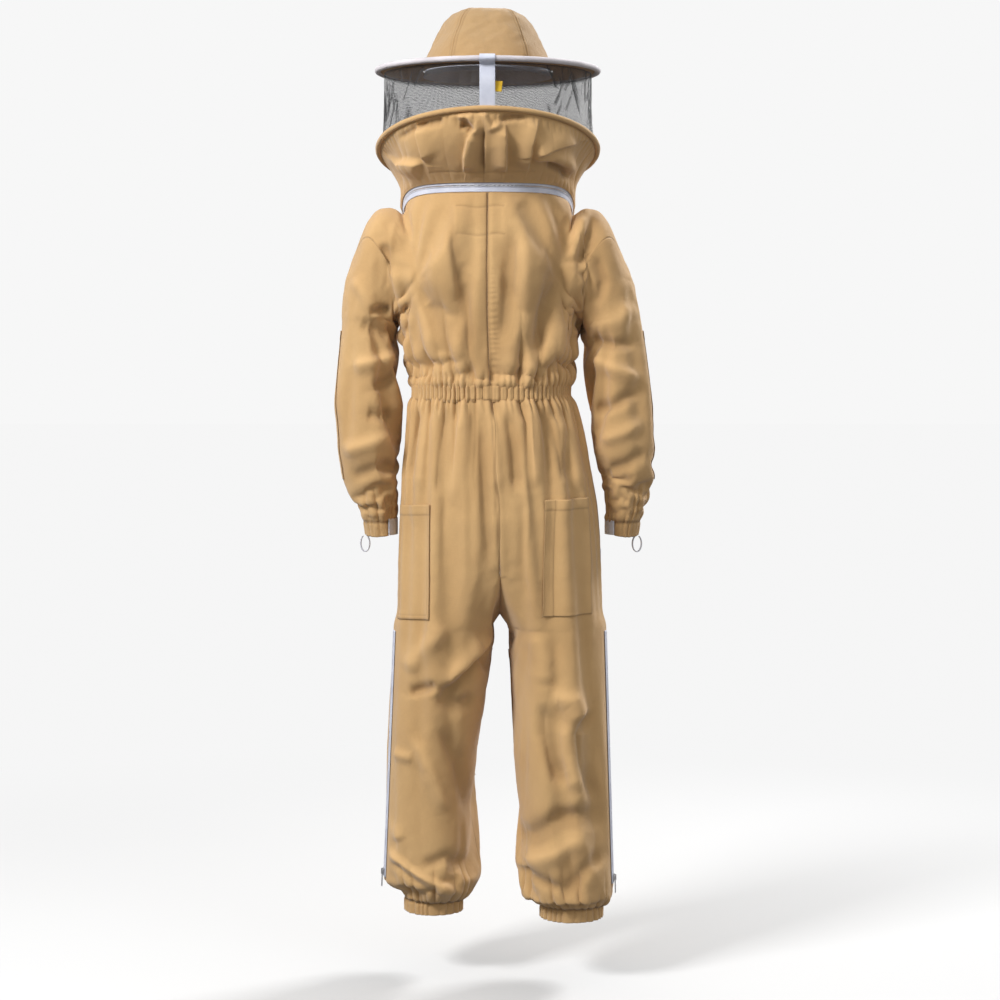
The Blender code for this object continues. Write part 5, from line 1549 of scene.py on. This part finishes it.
# ---------------------------------------------------------------- the hood
# (height of the fold, width to the line's left, to its right, points (x, height) on the hood's rear)
HOOD_FOLDS = [
    (0.0070, 0.020, 0.0022, [(0.043, 1.572), (0.043, 1.600), (0.036, 1.628), (0.028, 1.645)]),
    (-0.0050, 0.0022, 0.012, [(0.007, 1.570), (0.007, 1.620), (0.006, 1.650)]),
    (0.0080, 0.0022, 0.020, [(-0.034, 1.570), (-0.034, 1.610), (-0.033, 1.655)]),
    (0.0075, 0.0025, 0.022, [(-0.074, 1.575), (-0.080, 1.620), (-0.094, 1.668)]),
    (0.0070, 0.018, 0.0030, [(0.116, 1.590), (0.126, 1.625), (0.134, 1.660)]),
    (0.0060, 0.005, 0.012, [(0.060, 1.672), (0.034, 1.668), (0.022, 1.650), (0.030, 1.632)]),
    (-0.0070, 0.006, 0.009, [(0.052, 1.655), (0.034, 1.650), (0.030, 1.640)]),
    (0.0060, 0.008, 0.006, [(0.012, 1.690), (0.004, 1.668), (-0.006, 1.650), (-0.030, 1.657)]),
    (-0.0060, 0.006, 0.008, [(-0.020, 1.662), (-0.045, 1.668), (-0.075, 1.672)]),
    (-0.0050, 0.008, 0.010, [(0.136, 1.655), (0.106, 1.660), (0.080, 1.668)]),
    (0.0090, 0.024, 0.005, [(0.205, 1.612), (0.166, 1.596), (0.118, 1.588)]),
    (0.0080, 0.004, 0.024, [(-0.084, 1.606), (-0.120, 1.618), (-0.170, 1.632)]),
    (0.0085, 0.006, 0.018, [(-0.078, 1.600), (-0.112, 1.600), (-0.150, 1.588), (-0.168, 1.566)]),
    (-0.0080, 0.009, 0.012, [(-0.110, 1.590), (-0.140, 1.580), (-0.158, 1.566)]),
    (-0.0030, 0.004, 0.004, [(-0.060, 1.692), (-0.052, 1.676)]),
    (-0.0030, 0.004, 0.004, [(-0.045, 1.694), (-0.038, 1.678)]),
    (-0.0030, 0.004, 0.004, [(-0.030, 1.696), (-0.026, 1.680)]),
    (-0.0040, 0.004, 0.005, [(0.008, 1.698), (0.002, 1.680)]),
    (-0.0035, 0.006, 0.006, [(0.170, 1.636), (0.140, 1.650), (0.110, 1.666)]),
]


def collar():
    columns, rows = 760, 90
    angle = np.linspace(0, 2 * math.pi, columns, endpoint=False)
    low = neck_point(angle) + neck_up(angle) * 0.0052 + ring_out(angle) * 0.0034
    high = hoop_point(angle, 0.2085, np.full(columns, -0.0030))
    t = np.linspace(0, 1, rows)[:, None]
    away = ring_out(angle)[None]
    back = smooth((-np.cos(angle) - 0.25) / 0.6)          # 1 behind the neck
    flank = np.clip(1 - np.abs(np.sin(angle)) ** 6, 0, 1)
    grid = low[None] * (1 - t[..., None]) + high[None] * t[..., None]
    belly = np.sin(math.pi * t ** 1.25)
    size = 0.016 * back - 0.015 * (1 - back) * smooth((1 - flank) * 2) - 0.004
    grid = grid + away * (belly * size[None])[..., None]
    grid[..., 2] -= belly * (0.008 - 0.004 * back)[None]
    grid[..., 2] -= 0.004 * np.sin(math.pi * t) * back[None]
    normal = grid_normals(grid, away)
    x, h = grid[..., 0], grid[..., 2] + SHOULDER_HEIGHT
    rear = smooth((grid[..., 1] - 0.0) / 0.06)
    edge = smooth(t / 0.08) * smooth((1 - t) / 0.06)
    lift = rear * folds(x, h, HOOD_FOLDS) * HOOD_FOLD_GAIN
    gathered = (0.0022 * ripple(angle, 54, 61)[None] * smooth(1 - t / 0.30)
                + 0.0034 * ripple(angle, 22, 62)[None]
                * np.sin(math.pi * np.clip(t, 0, 1)) ** 0.8) * (1 - 0.75 * back)[None]
    top_gather = 0.0014 * ripple(angle, 90, 63)[None] * smooth((t - 0.80) / 0.15)
    lift = (lift + gathered + top_gather
            + 0.0012 * fractal(grid.reshape(-1, 3), 0.06, 64).reshape(x.shape)) * edge
    stitched = (rear * bell(h - np.interp(x, [-0.09, 0.0, 0.10], [1.575, 1.571, 1.573]), 0.0022)
                * (np.abs(x - 0.01) < 0.10))
    lift -= 0.0006 * stitched
    grid = grid + normal * lift[..., None]
    # the seam mark holds painted shade in the folds' valleys, the stitching and the back seam; the worn mark
    # is a painted highlight on the fold crests
    seam = np.clip(np.clip(-lift / 0.012, 0, 0.5) + 0.2 * stitched
                   + 0.5 * bell(x - 0.007, 0.0016) * rear, 0, 1)
    marks = {"seam": seam, "worn": np.clip((lift - 0.002) / 0.006, 0, 1)}
    made = grid_object("hood_collar_cloth", grid, wrap_columns=True, size=(1.34, 0.15), marks=marks)
    dress(thickness(made, CLOTH_THICKNESS), KHAKI, "hood", ["hood_collar"])


def piping(name, radius, thick, flat_share, place_on):
    """A bias binding round a hoop."""
    angle = np.linspace(0, 2 * math.pi, 720, endpoint=False)
    around = np.linspace(0, 2 * math.pi, 20, endpoint=False)
    size = thick + 0.00018 * (ripple(angle, 220, 71, 0.8) + ripple(angle, 26, 72))
    profile = np.stack([np.cos(around)[None] * size[:, None],
                        np.sin(around)[None] * size[:, None] * flat_share], -1)
    centre = place_on(angle, radius)
    return sweep(name, centre, ring_out(angle), profile, closed=True)


def flat_ring(angle, radius):
    return ring_at(angle, radius, BRIM_HEIGHT)


def veil():
    columns, rows = 420, 70
    angle = np.linspace(0, 2 * math.pi, columns, endpoint=False)
    top = ring_at(angle, 0.2005, BRIM_HEIGHT - 0.0060)
    bottom = hoop_point(angle, 0.2060, np.full(columns, 0.0015))
    t = np.linspace(0, 1, rows)[:, None]
    grid = bottom[None] * (1 - t[..., None]) + top[None] * t[..., None]
    away = ring_out(angle)[None]
    waves = (0.0028 * ripple(angle, 16, 81)[None]
             + 0.0012 * ripple(angle, 46, 82)[None]) * np.sin(math.pi * t) ** 0.6
    noise = 0.0022 * fractal(grid.reshape(-1, 3), 0.07, 83).reshape(rows, columns) * np.sin(math.pi * t)
    sides = smooth((np.abs(np.sin(angle)) - 0.55) / 0.35)
    creases = np.zeros((rows, columns))
    local = np.random.default_rng(84)
    for _ in range(64):
        at = local.choice([1, -1]) * local.uniform(0.9, 2.5)
        at = at if local.random() < 0.8 else local.uniform(-math.pi, math.pi)
        lean, start, length = local.uniform(-0.35, 0.35), local.uniform(0, 0.7), local.uniform(0.25, 0.7)
        turned = (angle[None] - at - lean * (t - start) + math.pi) % (2 * math.pi) - math.pi
        inside = smooth((t - start) / 0.10) * smooth((start + length - t) / 0.15)
        crease = bell(turned * 0.2, local.uniform(0.0016, 0.0034)) * inside * local.uniform(0.4, 1)
        creases = np.maximum(creases, crease)
    lift = waves + noise - 0.003 * creases - 0.004 * np.sin(math.pi * t) * sides[None]
    grid = grid + away * lift[..., None]
    rim = np.maximum(smooth(1 - t / 0.05), smooth(1 - (1 - t) / 0.05)) * np.ones((1, columns))
    made = grid_object("veil_net_cloth", grid, wrap_columns=True, size=(1.28, 0.15),
                       marks={"fold": np.clip(np.maximum(creases * 0.8, rim * 0.6), 0, 1)})
    dress(made, NET, "hood", ["veil_net"])
    # the white tape up the back of the net, folded over the brim's edge
    low = hoop_point(np.array([math.pi]), 0.2085, np.array([0.004]))[0]
    x = (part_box("veil_back_tape")[0].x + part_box("veil_back_tape")[1].x) / 2
    h = BRIM_HEIGHT - SHOULDER_HEIGHT
    route = spline([(x, low[1] + 0.002, low[2]), (x, 0.2075, 0.235), (x, 0.2060, h - 0.010),
                    (x, 0.2130, h - 0.0072), (x, 0.2200, h), (x, 0.2130, h + 0.0072),
                    (x, 0.2010, h + 0.0034), (x, 0.1960, h + 0.0026)], 140)
    along = np.gradient(route, axis=0)
    facing = unit(np.cross((1.0, 0, 0), along))
    if facing[20, 1] < 0:
        facing = -facing
    strap = sweep("veil_back_strap", route, facing,
                  tape_profile(-0.0145, 0.0145, 0.0, 0.0012, 16, 0.00012, 60))
    dress(strap, TAPE, "hood", ["veil_back_tape"])
    # the plain yellow tag, a folded ribbon
    low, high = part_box("label_tab")
    mid = (np.array(low) + np.array(high)) / 2
    turn = np.linspace(-1, 1, 40)
    route = np.stack([low.x + (high.x - low.x) * (np.abs(turn)),
                      mid[1] + 0.0011 * turn * (1 - 0.3 * np.abs(turn)) + 0.0012 * np.abs(turn) ** 2,
                      mid[2] + 0.0006 * np.cos(3 * turn)], 1)
    route[:, 2] += 0.16 * (route[:, 0] - mid[0])
    along = np.gradient(route, axis=0)
    facing = np.cross(along, (0, 0, 1.0))
    half = (high.z - low.z) / 2
    tag = sweep("yellow_tag", route, facing, tape_profile(-half, half, -0.0002, 0.0002, 12, 0.00004))
    dress(tag, YELLOW, "hood", ["label_tab"])


def side_tag():
    low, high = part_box("side_label")
    mid = (np.array(low) + np.array(high)) / 2
    half_w, half_h = (high.y - low.y) / 2, (high.z - low.z) / 2
    turn = np.linspace(-1, 1, 40)
    trousers = tree_of("trouser_back_right", "trouser_front_right")
    hit = trousers.ray_cast(Vector((-0.6, mid[1], mid[2])), Vector((1.0, 0, 0)))
    near = hit[0].x if hit[0] is not None else mid[0]
    route = np.stack([near - 0.0012 * (1 - turn**2) - 0.0012, mid[1] + half_w * turn, mid[2] + 0 * turn], 1)
    tag = sweep("side_tag", route, np.array((-1.0, 0, 0)),
                tape_profile(-half_h, half_h, -0.0004, 0.0004, 14, 0.00005, 30))
    dress(tag, TAPE, "suit", ["side_label"])


def hat():
    gores, first_seam = 5, math.pi - math.radians(34)
    columns, rows = 480, 96
    angle = np.linspace(0, 2 * math.pi, columns, endpoint=False)
    outline = np.array([(0.1255, 1.7775), (0.1180, 1.800), (0.1065, 1.826), (0.0930, 1.852), (0.0790, 1.873),
                        (0.0620, 1.8860), (0.0380, 1.8900), (0.0, 1.8895)])
    curve = spline(np.stack([outline[:, 0], 0 * outline[:, 0], outline[:, 1]], 1), rows)
    radius, height = curve[:-1, 0][:, None], curve[:-1, 2][:, None]
    turned = (angle - first_seam) % (2 * math.pi / gores)
    to_seam = np.minimum(turned, 2 * math.pi / gores - turned)[None] * radius
    crown_share = np.linspace(0, 1, rows)[:-1][:, None]
    flat_gore = 0.0050 * np.cos(gores * (angle - first_seam))[None] * np.sin(math.pi * crown_share)
    r = radius + flat_gore * smooth(radius / 0.05)
    grid = ring_at(angle, r, height)
    normal = grid_normals(grid, np.concatenate([grid[..., :2], 0 * grid[..., 2:] + 0.05], 2))
    groove = bell(to_seam, 0.0011)
    beside = bell(to_seam - 0.0042, 0.0016)
    lift = (-0.0016 * groove + 0.0008 * bell(to_seam - 0.0022, 0.0016)
            - 0.0004 * bell(to_seam - 0.0060, 0.0008)
            + 0.0032 * fractal(grid.reshape(-1, 3), 0.075, 91).reshape(r.shape)
            * np.sin(math.pi * crown_share) ** 0.5
            + 0.0007 * fractal(grid.reshape(-1, 3), 0.022, 92).reshape(r.shape)
            + 0.0012 * ripple(angle, 30, 93)[None] * smooth(1 - crown_share / 0.14))
    lift *= smooth(radius / 0.02)
    grid = grid + normal * lift[..., None]
    marks = {"seam": np.clip(0.65 * groove + 0.35 * bell(to_seam - 0.0060, 0.0008) + 0.2 * beside, 0, 1),
             "worn": 0.5 * bell(to_seam - 0.0022, 0.0014)}
    made = grid_object("hat_crown_cloth", grid, wrap_columns=True, size=(0.78, 0.165), marks=marks)
    work = bmesh.new()
    work.from_mesh(made.data)
    bmesh.ops.contextual_create(work,
                                geom=[e for e in work.edges if e.is_boundary and e.verts[0].co.z > 0.30])
    work.to_mesh(made.data)
    work.free()
    outward(made)
    dress(thickness(made, 0.0016), KHAKI_HAT_SHADED, "hood", ["hat_crown"])

    # the brim: two layers with a stiffener, stitched in rings
    angle = np.linspace(0, 2 * math.pi, 480, endpoint=False)
    span = np.linspace(0.1255, 0.2085, 84)
    rings = 0.00045 * (1 - np.abs(np.sin((span - 0.1255) * math.pi / 0.0095)) ** 0.35)
    wave = 0.0012 * np.sin(3 * angle + 0.6) + 0.0007 * np.sin(5 * angle + 2.0)
    sag = wave[None] * ((span - 0.1255) / 0.083 * (1 - smooth((span - 0.195) / 0.012)))[:, None]
    upper = ring_at(angle, span[:, None], BRIM_HEIGHT + 0.0011 - rings[:, None] + sag)
    lower = ring_at(angle, span[:, None], BRIM_HEIGHT - 0.0014 + rings[:, None] + sag)
    grid = np.concatenate([upper, lower[::-1]])
    stitch = np.concatenate([rings, rings[::-1]])[:, None] / 0.00045 * np.ones((1, 480))
    made = grid_object("hat_brim_cloth", grid, wrap_rows=True, wrap_columns=True,
                       marks={"seam": 0.5 * stitch ** 3})
    dress(made, KHAKI_HAT_SHADED, "hood", ["hat_brim"])
    centre = ring_at(angle, 0.1185, 1.779)
    tilt = ring_out(angle) * 0.955 + np.array((0, 0, 0.297))
    band = sweep("sweatband_ring", centre, tilt,
                 tape_profile(-0.0165, 0.0165, -0.0012, 0.0010, 6, 0.00018, 50),
                 closed=True)
    dress(band, TAPE, "hood", ["sweatband"])
    made = piping("brim_binding_tape", BRIM_RADIUS, 0.0052, 1.12, flat_ring)
    dress(made, BINDING, "hood", ["brim_binding"])
    made = piping("collar_piping", HOOP_RADIUS, 0.0050, 1.05,
                  lambda a, r: hoop_point(a, r, np.zeros(np.shape(a))))
    dress(made, KHAKI, "hood", ["collar_binding"])


waist()
cuffs()
pockets_and_patches()
zips()
hat()
collar()
veil()
side_tag()


# ---------------------------------------------------------------- floor, light and camera
camera = bpy.data.objects.new("camera", bpy.data.cameras.new("camera"))
bpy.context.scene.collection.objects.link(camera)
bpy.context.scene.camera = camera
CAMERA_HEIGHT, CAMERA_DISTANCE, AIM_X, AIM_HEIGHT = 1.257, 4.5, -0.0235, 0.944
camera.data.sensor_width = 36.0
camera.location = (AIM_X, CAMERA_DISTANCE, CAMERA_HEIGHT - SHOULDER_HEIGHT)
aim = Vector((AIM_X, 0.0, AIM_HEIGHT - SHOULDER_HEIGHT))
camera.rotation_euler = (aim - camera.location).to_track_quat("-Z", "Y").to_euler()
camera.data.lens = 36.0 / (2 * math.tan(math.atan(0.9775 / CAMERA_DISTANCE)))
camera.data.clip_end = 100

floor = grid_object("floor",
                    np.array([[(x, y, -SHOULDER_HEIGHT) for x in (-30, 30)] for y in (-30, 30)], float))
pale = Shader("floor", roughness=0.95)
spread = pale.add("ShaderNodeVectorMath", {0: pale.where("Object", (1, 1, 0))},
                  operation="LENGTH").outputs["Value"]
far = pale.add("ShaderNodeMapRange", {"Value": spread, "From Min": 0.9, "From Max": 2.6},
               interpolation_type="SMOOTHSTEP")
mottled = pale.blend(pale.noise(pale.where("Object"), 0.6), (0.57, 0.57, 0.57, 1), (0.60, 0.60, 0.60, 1))
pale.to("Base Color", pale.blend(far.outputs[0], mottled, (0.0, 0.0, 0.0, 1)))
pale.to("Emission Color", pale.blend(far.outputs[0], (0, 0, 0, 1), (0.92, 0.92, 0.92, 1)))
pale.surface.inputs["Emission Strength"].default_value = 1.0
pale.surface.inputs["Specular IOR Level"].default_value = 0.0
floor.data.materials.append(pale.material)
floor.visible_diffuse = floor.visible_glossy = False


def lamp(name, power, size, where, at=(0, 0, -0.55)):
    made = bpy.data.objects.new(name, bpy.data.lights.new(name, "AREA"))
    made.data.energy, made.data.size = power, size
    made.location = where
    made.rotation_euler = (Vector(at) - made.location).to_track_quat("-Z", "Y").to_euler()
    bpy.context.scene.collection.objects.link(made)


lamp("key", 190, 1.1, (2.7, 2.5, 2.1))
lamp("fill", 20, 2.4, (-3.2, 3.2, 0.9))
lamp("front_key", 180, 1.3, (-2.7, -2.5, 2.1))
lamp("front_fill", 20, 2.4, (3.2, -3.0, 0.9))
bpy.context.scene.view_settings.view_transform = "Standard"
world = bpy.data.worlds.new("world")
bpy.context.scene.world = world
world.use_nodes = True
sky = world.node_tree
sky.nodes["Background"].inputs["Color"].default_value = (1, 1, 1, 1)
seen = sky.nodes.new("ShaderNodeLightPath")
level = sky.nodes.new("ShaderNodeMapRange")
level.inputs["To Max"].default_value = 0.93
sky.links.new(seen.outputs["Is Camera Ray"], level.inputs["Value"])
toward = sky.nodes.new("ShaderNodeTexCoord")
split = sky.nodes.new("ShaderNodeSeparateXYZ")
sky.links.new(toward.outputs["Generated"], split.inputs[0])
dome = sky.nodes.new("ShaderNodeMapRange")
for socket, value in (("From Min", -0.6), ("From Max", 0.7), ("To Min", 0.18), ("To Max", 0.74)):
    dome.inputs[socket].default_value = value
sky.links.new(split.outputs["Z"], dome.inputs["Value"])
sky.links.new(dome.outputs[0], level.inputs["To Min"])
sky.links.new(level.outputs[0], sky.nodes["Background"].inputs["Strength"])
